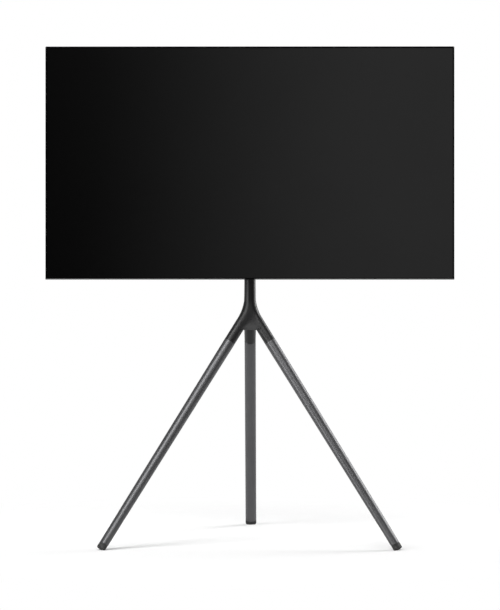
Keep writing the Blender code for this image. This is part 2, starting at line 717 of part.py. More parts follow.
def build_stop_collar(model):
    """The collar on the pole with its stop peg and grub screw, and the washer that the head turns on."""
    bm = bmesh.new()
    radii = (POLE_RADIUS + GAP, SLEEVE_OUTER)
    levels = (STOP_COLLAR_TOP_Z, STOP_COLLAR_TOP_Z + PEG_HEIGHT)
    bottom = STOP_COLLAR_TOP_Z - STOP_COLLAR_HEIGHT
    angles = arc_angles(PEG_HALF_ANGLE)
    stepped_pipe(bm, radii, angles, levels, bottom, PEG_HALF_ANGLE, True, WASHER_OUTER + RUN)
    collar = model.add("stop_collar", bm, "dark_steel", model.stand)

    screw = bmesh.new()
    hole = bmesh.new()
    z = STOP_COLLAR_TOP_Z - STOP_COLLAR_HEIGHT / 2
    wall = SLEEVE_OUTER - POLE_RADIUS
    length = wall - SCREW_RECESS - GAP
    rod(screw, STOP_SCREW_RADIUS, length, at(0, SCREW_RECESS - SLEEVE_OUTER, z, FORWARD))
    start = -SLEEVE_OUTER - CUT_OVERRUN
    rod(hole, STOP_SCREW_RADIUS + HOLE_SLACK, wall + CUT_OVERRUN, at(0, start, z, FORWARD))
    model.add("stop_collar_screw", screw, "black_screw", model.stand)
    model.cut([collar], "cut_stop_screw", hole)

    bm = bmesh.new()
    pipe(bm, BUSH_INNER, WASHER_OUTER, WASHER_THICKNESS, at(0, 0, STOP_COLLAR_TOP_Z + GAP), ROUND)
    model.add("thrust_washer", bm, "nylon", model.stand)


def build_sleeve(model):
    """The notched sleeve that turns on the pole, with a bush at either end."""
    for name, z in (("lower_bush", SLEEVE_BOTTOM_Z), ("upper_bush", SLEEVE_TOP_Z - BUSH_LENGTH)):
        bm = bmesh.new()
        pipe(bm, BUSH_INNER, BUSH_INNER + BUSH_WALL, BUSH_LENGTH, at(0, 0, z), ROUND)
        model.add(name, bm, "nylon", model.head)
    bm = bmesh.new()
    radii = (SLEEVE_INNER, SLEEVE_OUTER)
    angles = arc_angles(NOTCH_HALF_ANGLE)
    levels = (NOTCH_TOP_Z, SLEEVE_BOTTOM_Z)
    stepped_pipe(bm, radii, angles, levels, SLEEVE_TOP_Z, NOTCH_HALF_ANGLE, False, SLEEVE_INNER)
    model.add("swivel_sleeve", bm, "dark_steel", model.head)


def mount_places():
    """The four places of the television's hole pattern, by name, as (x, z)."""
    return {
        f"{side}_{row}": (across * MOUNT_X / 2, HEAD_Z + up * MOUNT_Z / 2)
        for side, across in (("left", -1), ("right", 1))
        for row, up in (("low", -1), ("high", 1))
    }


def build_bracket(model):
    """The bracket that hugs the sleeve, the folded plate on it and the bolts between them."""
    bm = bmesh.new()
    half_w = BRACKET_WIDTH / 2
    half_h = BRACKET_HEIGHT / 2
    back = SLEEVE_OUTER - BRACKET_WRAP
    facing_box(bm, (-half_w, HEAD_Z - half_h), (half_w, HEAD_Z + half_h), back, BRACKET_FRONT)
    bracket = model.add("head_bracket", bm, "dark_steel", model.head)
    bm = bmesh.new()
    rod(bm, SLEEVE_OUTER + GAP, SLEEVE_LENGTH, at(0, 0, SLEEVE_BOTTOM_Z), ROUND)
    model.cut([bracket], "cut_bracket_seat", bm)

    bm = bmesh.new()
    upright = Matrix.Translation((0, -PLATE_FRONT, HEAD_Z)) @ Matrix.Rotation(math.pi / 2, 4, "Y")
    channel(bm, PLATE_HEIGHT, PLATE_SHEET, PLATE_LIP, PLATE_WIDTH, upright)
    plate = model.add("mount_plate", bm, "dark_steel", model.head)

    holes = bmesh.new()
    length = CUT_OVERRUN + PLATE_BOLT_LENGTH
    for side, x in (("left", -PLATE_BOLT_X), ("right", PLATE_BOLT_X)):
        one = bmesh.new()
        bolt(one, PLATE_BOLT_RADIUS, PLATE_BOLT_LENGTH, at(x, PLATE_FRONT + GAP, HEAD_Z, BACKWARD))
        model.add(f"plate_bolt_{side}", one, "zinc_screw", model.head)
        hole = at(x, PLATE_FRONT + CUT_OVERRUN, HEAD_Z, BACKWARD)
        rod(holes, PLATE_BOLT_RADIUS + HOLE_SLACK, length, hole)
    model.cut([plate, bracket], "cut_plate_bolts", holes)


def build_arms(model):
    """Two folded arms welded to the plate, and the spacers and screws that hold the television."""
    arms = []
    for name, x in (("arm_left", -MOUNT_X / 2), ("arm_right", MOUNT_X / 2)):
        bm = bmesh.new()
        place = Matrix.Translation((x, -ARM_BACK, HEAD_Z)) @ Matrix.Rotation(math.pi, 4, "Z")
        channel(bm, ARM_WIDTH, ARM_SHEET, ARM_LIP, ARM_LENGTH, place)
        arms.append(model.add(name, bm, "dark_steel", model.head))
    holes = bmesh.new()
    bore = MOUNT_SCREW_RADIUS + HOLE_SLACK
    start = ARM_BACK - GAP
    length = TV_BACK + MOUNT_SCREW_GRIP - start
    for corner, (x, z) in mount_places().items():
        screw = bmesh.new()
        bolt(screw, MOUNT_SCREW_RADIUS, length, at(x, start, z, FORWARD))
        model.add(f"mount_screw_{corner}", screw, "black_screw", model.head)
        spacer = bmesh.new()
        pipe(spacer, bore, bore + SPACER_WALL, SPACER_LENGTH, at(x, ARM_FRONT + GAP, z, FORWARD))
        model.add(f"mount_spacer_{corner}", spacer, "black_plastic", model.head)
        rod(holes, bore, ARM_SHEET + 2 * CUT_OVERRUN, at(x, ARM_BACK - CUT_OVERRUN, z, FORWARD))
    model.cut(arms, "cut_mount_screws", holes)


def build_frame(model):
    """Four mitred bars round the screen."""
    half = TV_WIDTH / 2
    places = ((-half, TV_BOTTOM_Z), (half, TV_BOTTOM_Z), (half, TV_TOP_Z), (-half, TV_TOP_Z))
    outer = [Vector(place) for place in places]
    inset = [Vector((1, 1)), Vector((-1, 1)), Vector((-1, -1)), Vector((1, -1))]
    inner = [corner + way * FRAME_WIDTH for corner, way in zip(outer, inset)]
    bars = []
    for index, name in enumerate(("frame_bottom", "frame_right", "frame_top", "frame_left")):
        after = (index + 1) % len(outer)
        along = (outer[after] - outer[index]).normalized() * GAP
        corners = (outer[index] + along, outer[after] - along, inner[after] - along, inner[index] + along)
        bm = bmesh.new()
        skin(bm, [[Vector((c.x, -forward, c.y)) for c in corners] for forward in (TV_FRONT, FRAME_BACK)])
        bars.append(model.add(name, bm, "edge_metal", model.head))
    return bars[0]


def build_panel(model):
    """The screen glass, the diffuser behind it and the lit bars on the chassis floor."""
    low = (-INSIDE_HALF, INSIDE_BOTTOM_Z)
    high = (INSIDE_HALF, INSIDE_TOP_Z)
    bm = bmesh.new()
    facing_box(bm, low, high, PANEL_BACK, PANEL_FRONT)
    model.add("screen_panel", bm, "screen_glass", model.head)
    bm = bmesh.new()
    facing_box(bm, low, high, DIFFUSER_FRONT - DIFFUSER_THICKNESS, DIFFUSER_FRONT)
    model.add("diffuser_plate", bm, "diffuser_white", model.head)
    build_led_board(model)


def build_led_board(model):
    """The lit bars on the chassis floor, joined by a strip at one end into one comb-shaped board."""
    pitch = (INSIDE_TOP_Z - INSIDE_BOTTOM_Z) / LED_BARS
    left = LED_MARGIN - INSIDE_HALF
    root = left + LED_SPINE_WIDTH
    right = INSIDE_HALF - LED_MARGIN
    outline = []
    for number in range(LED_BARS):
        z = INSIDE_BOTTOM_Z + pitch * (number + 0.5)
        low = z - LED_BAR_HEIGHT / 2
        high = z + LED_BAR_HEIGHT / 2
        outline += [(root, low), (right, low), (right, high), (root, high)]
    first = outline[0][1]
    last = outline[-1][1]
    outline[0] = (right, first)
    outline[-1] = (left, last)
    outline = [(left, first), *outline[1:]]
    floor = CHASSIS_BACK + CHASSIS_SHEET + GAP
    bm = bmesh.new()
    levels = (floor, floor + LED_BAR_THICKNESS)
    skin(bm, [[Vector((x, -forward, z)) for x, z in outline] for forward in levels])
    model.add("led_board", bm, "diffuser_white", model.head)


def build_chassis(model):
    """The folded steel tray behind the screen."""
    bm = bmesh.new()
    low = (-INSIDE_HALF, INSIDE_BOTTOM_Z)
    high = (INSIDE_HALF, INSIDE_TOP_Z)
    facing_box(bm, low, high, CHASSIS_BACK, CHASSIS_FRONT)
    front = [min(bm.faces, key=lambda face: face.calc_center_median().y)]
    bmesh.ops.inset_region(bm, faces=front, thickness=CHASSIS_SHEET, use_even_offset=True)
    made = bmesh.ops.extrude_face_region(bm, geom=front)["geom"]
    verts = [item for item in made if isinstance(item, bmesh.types.BMVert)]
    bmesh.ops.translate(bm, vec=(0, CHASSIS_DEPTH - CHASSIS_SHEET, 0), verts=verts)
    bmesh.ops.delete(bm, geom=front, context="FACES")
    chassis = model.add("backlight_chassis", bm, "sheet_steel", model.head)
    model.join(chassis, "join_chassis_posts", chassis_posts())
    return chassis


def chassis_posts():
    """The threaded posts for the mounting screws and the short ones for the boards."""
    bm = bmesh.new()
    sunk = CHASSIS_BACK + WELD
    bore = MOUNT_SCREW_RADIUS + HOLE_SLACK
    for x, z in mount_places().values():
        pipe(bm, bore, POST_OUTER, sunk - TV_BACK, at(x, TV_BACK, z, FORWARD))
    for side in (-1, 1):
        low, high = board_rect(side)
        for x in (low[0] + BOARD_POST_INSET, high[0] - BOARD_POST_INSET):
            for z in (low[1] + BOARD_POST_INSET, high[1] - BOARD_POST_INSET):
                start = BOARD_FRONT + GAP
                rod(bm, BOARD_POST_RADIUS, sunk - start, at(x, start, z, FORWARD))
    return bm


def build_rear_cover(model):
    """The thin upper back sheet."""
    bm = bmesh.new()
    low = (-INSIDE_HALF, COVER_TOP_Z + GAP)
    high = (INSIDE_HALF, INSIDE_TOP_Z)
    facing_box(bm, low, high, FRAME_BACK, COVER_FRONT)
    return model.add("rear_cover", bm, "black_plastic", model.head)


def cover_sections():
    """The electronics cover as (low, high, corner radius, forward) sections, outside then inside."""
    low = Vector((-INSIDE_HALF, INSIDE_BOTTOM_Z))
    high = Vector((INSIDE_HALF, COVER_TOP_Z))
    flange = Vector((COVER_FLANGE, COVER_FLANGE))
    back_low = low + flange + Vector((COVER_SLOPE_SIDE, COVER_SLOPE_BOTTOM))
    back_high = high - flange - Vector((COVER_SLOPE_SIDE, COVER_SLOPE_TOP))
    edge = Vector((COVER_EDGE, COVER_EDGE))
    wall = Vector((COVER_WALL, COVER_WALL))
    return (
        (low, high, COVER_EDGE, COVER_FRONT),
        (low, high, COVER_EDGE, FRAME_BACK),
        (low + flange, high - flange, COVER_CORNER, FRAME_BACK),
        (back_low, back_high, COVER_CORNER, TV_BACK + COVER_EDGE),
        (back_low + edge, back_high - edge, COVER_CORNER, TV_BACK),
        (back_low + edge, back_high - edge, COVER_CORNER, TV_BACK + COVER_WALL),
        (back_low + wall, back_high - wall, COVER_CORNER, TV_BACK + COVER_EDGE + COVER_WALL),
        (low + flange + wall, high - flange - wall, COVER_CORNER, FRAME_BACK),
        (low + flange + wall, high - flange - wall, COVER_CORNER, COVER_FRONT),
    )


def build_electronics_cover(model):
    """The deep lower cover, with vents, speaker slots and holes for the posts, the key and the sockets."""
    bm = bmesh.new()
    outside = [rect_ring(*section) for section in cover_sections()[:5]]
    inside = [rect_ring(*section) for section in cover_sections()[5:]]
    outer_loops = [[bm.verts.new(p) for p in points] for points in outside]
    inner_loops = [[bm.verts.new(p) for p in points] for points in inside]
    for near, far in zip(outer_loops, outer_loops[1:]):
        join_loops(bm, near, far)
    for near, far in zip(inner_loops, inner_loops[1:]):
        join_loops(bm, near, far)
    bm.faces.new(outer_loops[-1])
    bm.faces.new(inner_loops[0])
    join_loops(bm, inner_loops[-1], outer_loops[0])
    cover = model.add("electronics_cover", bm, "black_plastic", model.head)

    cutter = bmesh.new()
    shallow = TV_BACK - CUT_OVERRUN
    deep = TV_BACK + COVER_WALL + CUT_OVERRUN
    for row in VENT_ROWS:
        z = TV_BOTTOM_Z + row
        for number in range(VENT_COUNT):
            x = (number - (VENT_COUNT - 1) / 2) * VENT_PITCH
            low = (x - VENT_WIDTH / 2, z - VENT_HEIGHT / 2)
            high = (x + VENT_WIDTH / 2, z + VENT_HEIGHT / 2)
            facing_box(cutter, low, high, shallow, deep)
    for side in (-1, 1):
        for number in range(GRILLE_COUNT):
            x = side * SPEAKER_FROM_MIDDLE + (number - (GRILLE_COUNT - 1) / 2) * GRILLE_PITCH
            low = (x - GRILLE_WIDTH / 2, COVER_UNDERSIDE_Z - CUT_OVERRUN)
            top = COVER_UNDERSIDE_Z + COVER_SLOPE_BOTTOM + COVER_WALL + CUT_OVERRUN
            high = (x + GRILLE_WIDTH / 2, top)
            middle = SPEAKER_FORWARD
            facing_box(cutter, low, high, middle - GRILLE_DEPTH / 2, middle + GRILLE_DEPTH / 2)
    for x, z in mount_places().values():
        rod(cutter, POST_OUTER + GAP, deep - shallow, at(x, shallow, z, FORWARD))
    tray = (TRAY_WIDTH / 2 + GAP, TRAY_HEIGHT / 2 + GAP)
    inlet = (INLET_WIDTH / 2 + GAP, INLET_HEIGHT / 2 + GAP)
    for x, (half_x, half_z) in ((TRAY_X, tray), (INLET_X, inlet)):
        z = socket_level()
        facing_box(cutter, (x - half_x, z - half_z), (x + half_x, z + half_z), shallow, deep)
    length = COVER_SLOPE_BOTTOM + COVER_WALL + 2 * CUT_OVERRUN
    rod(cutter, KEY_RADIUS + RUN, length, at(0, KEY_FORWARD, COVER_UNDERSIDE_Z - CUT_OVERRUN))
    model.cut([cover], "cut_cover_holes", cutter)
    return cover


def socket_level():
    """Height of the sockets, level with the middle of the boards."""
    return TV_BOTTOM_Z + BOARD_UP + BOARD_HEIGHT / 2


def build_cover_screws(model, chassis, rear, cover):
    """Small screws through the outer corners of both covers into the chassis."""
    holes = bmesh.new()
    reach = CHASSIS_BACK + CHASSIS_SHEET + COVER_SCREW_TIP
    head_at = FRAME_BACK - GAP
    radius = COVER_SCREW_RADIUS
    profile = (
        (radius * BOLT_HEAD_SHARE, -COVER_SCREW_HEAD), (radius * BOLT_HEAD_SHARE, 0),
        (radius, 0), (radius, reach - head_at),
    )
    rows = (("low", INSIDE_BOTTOM_Z + COVER_SCREW_INSET), ("high", INSIDE_TOP_Z - COVER_SCREW_INSET))
    side_x = INSIDE_HALF - COVER_SCREW_INSET
    for row, z in rows:
        for side, x in (("left", -side_x), ("right", side_x)):
            screw = bmesh.new()
            loops = skin(screw, [ring(r, r, up, SCREW_ROUND) for r, up in profile])
            move_loops(screw, loops, at(x, head_at, z, FORWARD))
            model.add(f"cover_screw_{side}_{row}", screw, "black_screw", model.head)
            rod(holes, radius + HOLE_SLACK, reach - head_at + CUT_OVERRUN, at(x, head_at, z, FORWARD))
    model.cut([chassis, rear, cover], "cut_cover_screws", holes)


def board_rect(side):
    """Low and high (x, z) corners of the board on one side of the middle."""
    near, far = sorted((side * BOARD_FROM_MIDDLE, side * (BOARD_FROM_MIDDLE + BOARD_WIDTH)))
    bottom = TV_BOTTOM_Z + BOARD_UP
    return (near, bottom), (far, bottom + BOARD_HEIGHT)


def build_boards(model):
    """Main board and power board on their posts behind the chassis."""
    for name, side in (("main_board", 1), ("power_board", -1)):
        low, high = board_rect(side)
        bm = bmesh.new()
        facing_box(bm, low, high, BOARD_BACK, BOARD_FRONT)
        model.add(name, bm, "circuit_green", model.head)


def build_speakers(model):
    """Two long speaker boxes over the slots in the cover's underside."""
    for name, side in (("speaker_left", -1), ("speaker_right", 1)):
        bm = bmesh.new()
        x = side * SPEAKER_FROM_MIDDLE
        z = COVER_UNDERSIDE_Z + COVER_SLOPE_BOTTOM + COVER_WALL + SPEAKER_LIFT
        low = (x - SPEAKER_WIDTH / 2, z)
        high = (x + SPEAKER_WIDTH / 2, z + SPEAKER_HEIGHT)
        middle = SPEAKER_FORWARD
        facing_box(bm, low, high, middle - SPEAKER_DEPTH / 2, middle + SPEAKER_DEPTH / 2)
        bmesh.ops.bevel(
            bm, geom=bm.edges[:], offset=SPEAKER_EDGE, segments=1, affect="EDGES", profile=0.5, material=-1
        )
        model.add(name, bm, "black_plastic", model.head)


def build_tray(model):
    """The sunk tray in the cover's back and the block of signal sockets that stands through its floor."""
    z = socket_level()
    half_x = TRAY_WIDTH / 2
    half_z = TRAY_HEIGHT / 2
    floor_back = TV_BACK + TRAY_DEPTH
    floor_front = floor_back + TRAY_WALL
    bm = bmesh.new()
    facing_box(bm, (TRAY_X - half_x, z - half_z), (TRAY_X + half_x, z + half_z), TV_BACK, floor_front)
    tray = model.add("terminal_tray", bm, "black_plastic", model.head)
    hollow = bmesh.new()
    low = (TRAY_X - half_x + TRAY_WALL, z - half_z + TRAY_WALL)
    high = (TRAY_X + half_x - TRAY_WALL, z + half_z - TRAY_WALL)
    facing_box(hollow, low, high, TV_BACK - CUT_OVERRUN, floor_back)
    model.cut([tray], "cut_tray_hollow", hollow)

    half_x = SOCKET_PITCH * (SOCKET_COUNT - 1) / 2 + SOCKET_MOUTH_WIDTH / 2 + SOCKET_END
    half_z = SOCKET_MOUTH_HEIGHT / 2 + SOCKET_WALL
    low = (TRAY_X - half_x, z - half_z)
    high = (TRAY_X + half_x, z + half_z)
    back = floor_back - SOCKET_PROUD
    bm = bmesh.new()
    facing_box(bm, low, high, back, BOARD_BACK - GAP)
    block = model.add("socket_block", bm, "socket_steel", model.head)
    mouths = bmesh.new()
    for number in range(SOCKET_COUNT):
        x = TRAY_X + (number - (SOCKET_COUNT - 1) / 2) * SOCKET_PITCH
        mouth_low = (x - SOCKET_MOUTH_WIDTH / 2, z - SOCKET_MOUTH_HEIGHT / 2)
        mouth_high = (x + SOCKET_MOUTH_WIDTH / 2, z + SOCKET_MOUTH_HEIGHT / 2)
        facing_box(mouths, mouth_low, mouth_high, back - CUT_OVERRUN, back + SOCKET_MOUTH_DEPTH)
    model.cut([block], "cut_socket_mouths", mouths)
    slot = bmesh.new()
    slot_low = (low[0] - GAP, low[1] - GAP)
    slot_high = (high[0] + GAP, high[1] + GAP)
    facing_box(slot, slot_low, slot_high, back, floor_front + CUT_OVERRUN)
    model.cut([tray], "cut_tray_slot", slot)


def build_inlet(model):
    """The mains inlet: a flanged body with a mouth and two pins."""
    z = socket_level()
    half_x = INLET_WIDTH / 2
    half_z = INLET_HEIGHT / 2
    outer = TV_BACK - GAP - INLET_FLANGE_THICKNESS
    middle = Vector((INLET_X, z))
    body = Vector((half_x, half_z))
    flange = body + Vector((INLET_FLANGE, INLET_FLANGE))
    mouth = body - Vector((INLET_WALL, INLET_WALL))
    sections = (
        (body, INLET_CORNER, TV_BACK + INLET_DEPTH),
        (body, INLET_CORNER, TV_BACK - GAP),
        (flange, INLET_CORNER, TV_BACK - GAP),
        (flange, INLET_CORNER, outer),
        (mouth, INLET_CORNER - INLET_WALL, outer),
        (mouth, INLET_CORNER - INLET_WALL, outer + INLET_MOUTH_DEPTH),
    )
    bm = bmesh.new()
    skin(bm, [rect_ring(middle - half, middle + half, radius, forward) for half, radius, forward in sections])
    inlet = model.add("power_inlet", bm, "black_plastic", model.head)
    pins = bmesh.new()
    for side in (-1, 1):
        x = INLET_X + side * PIN_SPACING / 2
        start = outer + INLET_MOUTH_DEPTH + WELD
        rod(pins, PIN_RADIUS, PIN_LENGTH + WELD, at(x, start, z, BACKWARD), SCREW_ROUND // 2)
    model.join(inlet, "join_inlet_pins", pins)


def build_key(model):
    """The power key under the cover and the switch above it."""
    bm = bmesh.new()
    flange_at = COVER_SLOPE_BOTTOM + COVER_WALL + GAP + KEY_PROUD
    flange_top = flange_at + KEY_FLANGE_THICKNESS
    profile = (
        (KEY_RADIUS, 0), (KEY_RADIUS, flange_at), (KEY_RADIUS + KEY_FLANGE, flange_at),
        (KEY_RADIUS + KEY_FLANGE, flange_top), (KEY_STEM_RADIUS, flange_top),
        (KEY_STEM_RADIUS, flange_at + KEY_LENGTH),
    )
    skin(bm, [ring(r, r, z, SCREW_ROUND) for r, z in profile])
    key_z = COVER_UNDERSIDE_Z - KEY_PROUD
    model.add("power_key", bm, "black_plastic", model.head, at(0, KEY_FORWARD, key_z))
    bm = bmesh.new()
    bottom = key_z + flange_at + KEY_LENGTH + KEY_TRAVEL + GAP
    low = (-SWITCH_WIDTH / 2, bottom)
    high = (SWITCH_WIDTH / 2, bottom + SWITCH_HEIGHT)
    facing_box(bm, low, high, KEY_FORWARD - SWITCH_WIDTH / 2, CHASSIS_BACK - GAP)
    model.add("key_switch", bm, "black_plastic", model.head)


def build_sensor(model, lower_bar):
    """A dark window for the remote's receiver, set in the lower frame bar."""
    middle = (TV_FRONT + FRAME_BACK) / 2
    low = (SENSOR_X - SENSOR_WIDTH / 2, TV_BOTTOM_Z)
    high = (SENSOR_X + SENSOR_WIDTH / 2, TV_BOTTOM_Z + FRAME_WIDTH)
    bm = bmesh.new()
    facing_box(bm, low, high, middle - SENSOR_DEPTH / 2, middle + SENSOR_DEPTH / 2)
    model.add("remote_sensor", bm, "sensor_red", model.head)
    bm = bmesh.new()
    low = (low[0] - GAP, low[1] - CUT_OVERRUN)
    high = (high[0] + GAP, high[1] + CUT_OVERRUN)
    facing_box(bm, low, high, middle - SENSOR_DEPTH / 2 - GAP, middle + SENSOR_DEPTH / 2 + GAP)
    model.cut([lower_bar], "cut_sensor", bm)


def build_television(model):
    """Everything that hangs on the arms."""
    lower_bar = build_frame(model)
    build_panel(model)
    chassis = build_chassis(model)
    rear = build_rear_cover(model)
    cover = build_electronics_cover(model)
    build_cover_screws(model, chassis, rear, cover)
    build_boards(model)
    build_speakers(model)
    build_tray(model)
    build_inlet(model)
    build_key(model)
    build_sensor(model, lower_bar)


def main():
    """Builds the stand from the floor up, then the head and the television."""
    model = Model()
    hub = build_hub(model)
    build_legs(model, hub)
    build_pole(model, hub)
    build_stop_collar(model)
    build_sleeve(model)
    build_bracket(model)
    build_arms(model)
    build_television(model)
    model.centre_footprint()


main()
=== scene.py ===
"""Looks of a flat television on a three-legged floor stand.

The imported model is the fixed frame. Each sub-assembly is a class that holds its own sizes in metres,
models its finer pieces with bmesh operators and dresses them in procedural finishes. The viewer stands
on the -Y side, +Z is up and the floor is Z = 0.
"""

import json
import logging
import math
from dataclasses import dataclass, replace
from enum import Enum
from typing import Callable, ClassVar, Iterable, Iterator, Sequence, Union

import bmesh
import bpy
from mathutils import Matrix, Vector


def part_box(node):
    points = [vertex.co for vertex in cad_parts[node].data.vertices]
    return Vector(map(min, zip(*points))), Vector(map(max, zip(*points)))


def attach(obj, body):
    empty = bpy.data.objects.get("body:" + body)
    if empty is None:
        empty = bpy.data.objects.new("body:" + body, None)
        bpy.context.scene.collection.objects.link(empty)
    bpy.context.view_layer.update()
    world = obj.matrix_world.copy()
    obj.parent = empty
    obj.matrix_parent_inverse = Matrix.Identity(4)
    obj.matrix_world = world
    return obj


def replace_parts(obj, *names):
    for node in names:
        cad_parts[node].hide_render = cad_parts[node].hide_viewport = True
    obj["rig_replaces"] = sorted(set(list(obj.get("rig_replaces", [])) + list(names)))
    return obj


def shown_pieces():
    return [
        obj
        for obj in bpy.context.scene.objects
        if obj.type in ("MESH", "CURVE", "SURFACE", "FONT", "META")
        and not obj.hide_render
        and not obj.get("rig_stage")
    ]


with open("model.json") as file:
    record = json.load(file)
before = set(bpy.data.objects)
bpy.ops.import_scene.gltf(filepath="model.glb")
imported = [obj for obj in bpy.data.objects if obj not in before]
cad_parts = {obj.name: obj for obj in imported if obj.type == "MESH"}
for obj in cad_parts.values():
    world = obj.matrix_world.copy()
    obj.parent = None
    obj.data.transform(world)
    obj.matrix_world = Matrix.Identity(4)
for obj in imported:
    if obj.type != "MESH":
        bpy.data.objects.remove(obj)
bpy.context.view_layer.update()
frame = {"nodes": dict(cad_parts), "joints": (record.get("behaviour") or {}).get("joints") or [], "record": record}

LOG = logging.getLogger("stand")
MERGE = 1e-5  # points closer than this are one point
FLAT_ANGLE = math.radians(1)  # faces that turn less than this are one flat
SHARP_ANGLE = math.radians(32)  # edges that turn more than this are drawn sharp
FINE = 96  # sides of a large round piece
SMALL = 36  # sides of a screw
CHAMFER, BROKEN, ROUND = 1, 2, 3  # facets of a rounded edge
WHITE = (1.0, 1.0, 1.0)
ORIGIN = Matrix()
UP = Vector((0, 0, 1))
RIGHT = Vector((1, 0, 0))
BACKWARD = Vector((0, 1, 0))
FORWARD = -BACKWARD  # towards the viewer
SIDES = {"left": -1, "right": 1}

Triple = tuple[float, float, float]
Colour = Triple
Point = tuple[float, float]  # radius and height in a turned profile, or across and up
Span = tuple[float, float]  # where a smooth step starts and ends
Tones = tuple[float, float]  # a colour's darkest and lightest share
Operand = Union["Value", float]
Socket = bpy.types.NodeSocket
Vert = bmesh.types.BMVert


class Body(Enum):
    """The bodies that move as one."""

    STAND = "stand"
    HEAD = "head"
    KEY = "key"


class Slot(Enum):
    """The record's material slots."""

    CAST = "cast_black"
    TUBE = "gunmetal"
    RUBBER = "black_rubber"
    STEEL = "dark_steel"
    ZINC = "zinc_screw"
    SCREW = "black_screw"
    NYLON = "nylon"
    PLASTIC = "black_plastic"
    EDGE = "edge_metal"
    SCREEN = "screen_glass"
    WHITE = "diffuser_white"
    SHEET = "sheet_steel"
    BOARD = "circuit_green"
    SOCKET = "socket_steel"
    SENSOR = "sensor_red"


class Axis(Enum):
    """The three directions of the frame, by their number."""

    X = 0
    Y = 1
    Z = 2


def joining(operation: str, reflected: bool = False) -> Callable[["Value", Operand], "Value"]:
    """Makes a method of Value that joins it to another operand.

    Args:
        operation: The Math node's operation.
        reflected: True if the other operand comes first.

    Returns:
        The method.
    """

    def method(self: "Value", other: Operand) -> "Value":
        """Joins this and another by a Math node."""
        pair = (other, self) if reflected else (self, other)
        return self.nodes.value("ShaderNodeMath", 0, dict(enumerate(pair)), operation=operation)

    return method


class Value:
    """A number carried by a node socket, so that shader maths reads as plain Python."""

    def __init__(self, nodes: "Nodes", socket: Socket) -> None:
        """Wraps a socket of a node tree."""
        self.nodes = nodes
        self.socket = socket

    __add__ = joining("ADD")
    __radd__ = joining("ADD", reflected=True)
    __sub__ = joining("SUBTRACT")
    __rsub__ = joining("SUBTRACT", reflected=True)
    __mul__ = joining("MULTIPLY")
    __rmul__ = joining("MULTIPLY", reflected=True)
    __truediv__ = joining("DIVIDE")
    __rtruediv__ = joining("DIVIDE", reflected=True)
    at_most = joining("MINIMUM")
    at_least = joining("MAXIMUM")
    folded = joining("PINGPONG")

    def mixed(self, other: "Value", share: Operand) -> "Value":
        """This and another, which counts for a share of the whole."""
        return self * (1 - share) + other * share


class Nodes:
    """A node tree, with one method that adds any node."""

    MIX_FACTOR = 0  # sockets of a Mix node that is set to colours
    MIX_FIRST = 6
    MIX_SECOND = 7
    MIX_RESULT = 2

    def __init__(self, tree: bpy.types.NodeTree) -> None:
        """Wraps a node tree."""
        self.tree = tree

    def node(self, kind: str, sockets: dict | None = None, **settings: object) -> bpy.types.Node:
        """Adds a node.

        Args:
            kind: The node's type.
            sockets: Values or links of its input sockets, by name or number.
            settings: Properties that are set first.

        Returns:
            The new node.
        """
        made = self.tree.nodes.new(kind)
        for name, value in settings.items():
            setattr(made, name, value)
        for name, value in (sockets or {}).items():
            self.feed(made.inputs[name], value)
        return made

    def value(
        self, kind: str, out: str | int, sockets: dict | None = None, **settings: object
    ) -> Value:
        """Adds a node and wraps one of its outputs."""
        return Value(self, self.node(kind, sockets, **settings).outputs[out])

    def feed(self, target: Socket, value: object) -> None:
        """Links or sets one input socket.

        Args:
            target: The socket.
            value: A value, a socket, a number or a tuple of numbers.
        """
        if isinstance(value, Value):
            value = value.socket
        if isinstance(value, Socket):
            self.tree.links.new(value, target)
        elif target.type == "RGBA":
            target.default_value = (*value, 1.0)
        else:
            target.default_value = value

    def rise(self, value: Value, low: float, high: float) -> Value:
        """A smooth step from 0 at low to 1 at high."""
        sockets = {"Value": value, "From Min": low, "From Max": high}
        return self.value("ShaderNodeMapRange", "Result", sockets, interpolation_type="SMOOTHSTEP")

    def blend(self, share: Operand, first: object, second: object) -> Socket:
        """A mix of two colours: the first where share is 0, the second where it is 1."""
        sockets = {self.MIX_FACTOR: share, self.MIX_FIRST: first, self.MIX_SECOND: second}
        return self.node("ShaderNodeMix", sockets, data_type="RGBA").outputs[self.MIX_RESULT]

    def seen(self, mirrored: Value) -> Value:
        """Tells the rays that look at a surface from those that light others.

        Args:
            mirrored: How far mirrored and refracted rays count as looking.

        Returns:
            1 for the camera's own rays, and that share for mirrored and refracted ones.
        """
        rays = self.node("ShaderNodeLightPath").outputs
        kinds = ("Camera", "Glossy", "Transmission")
        camera, glossy, through = (Value(self, rays[f"Is {kind} Ray"]) for kind in kinds)
        return camera.at_least(glossy.at_least(through) * mirrored)


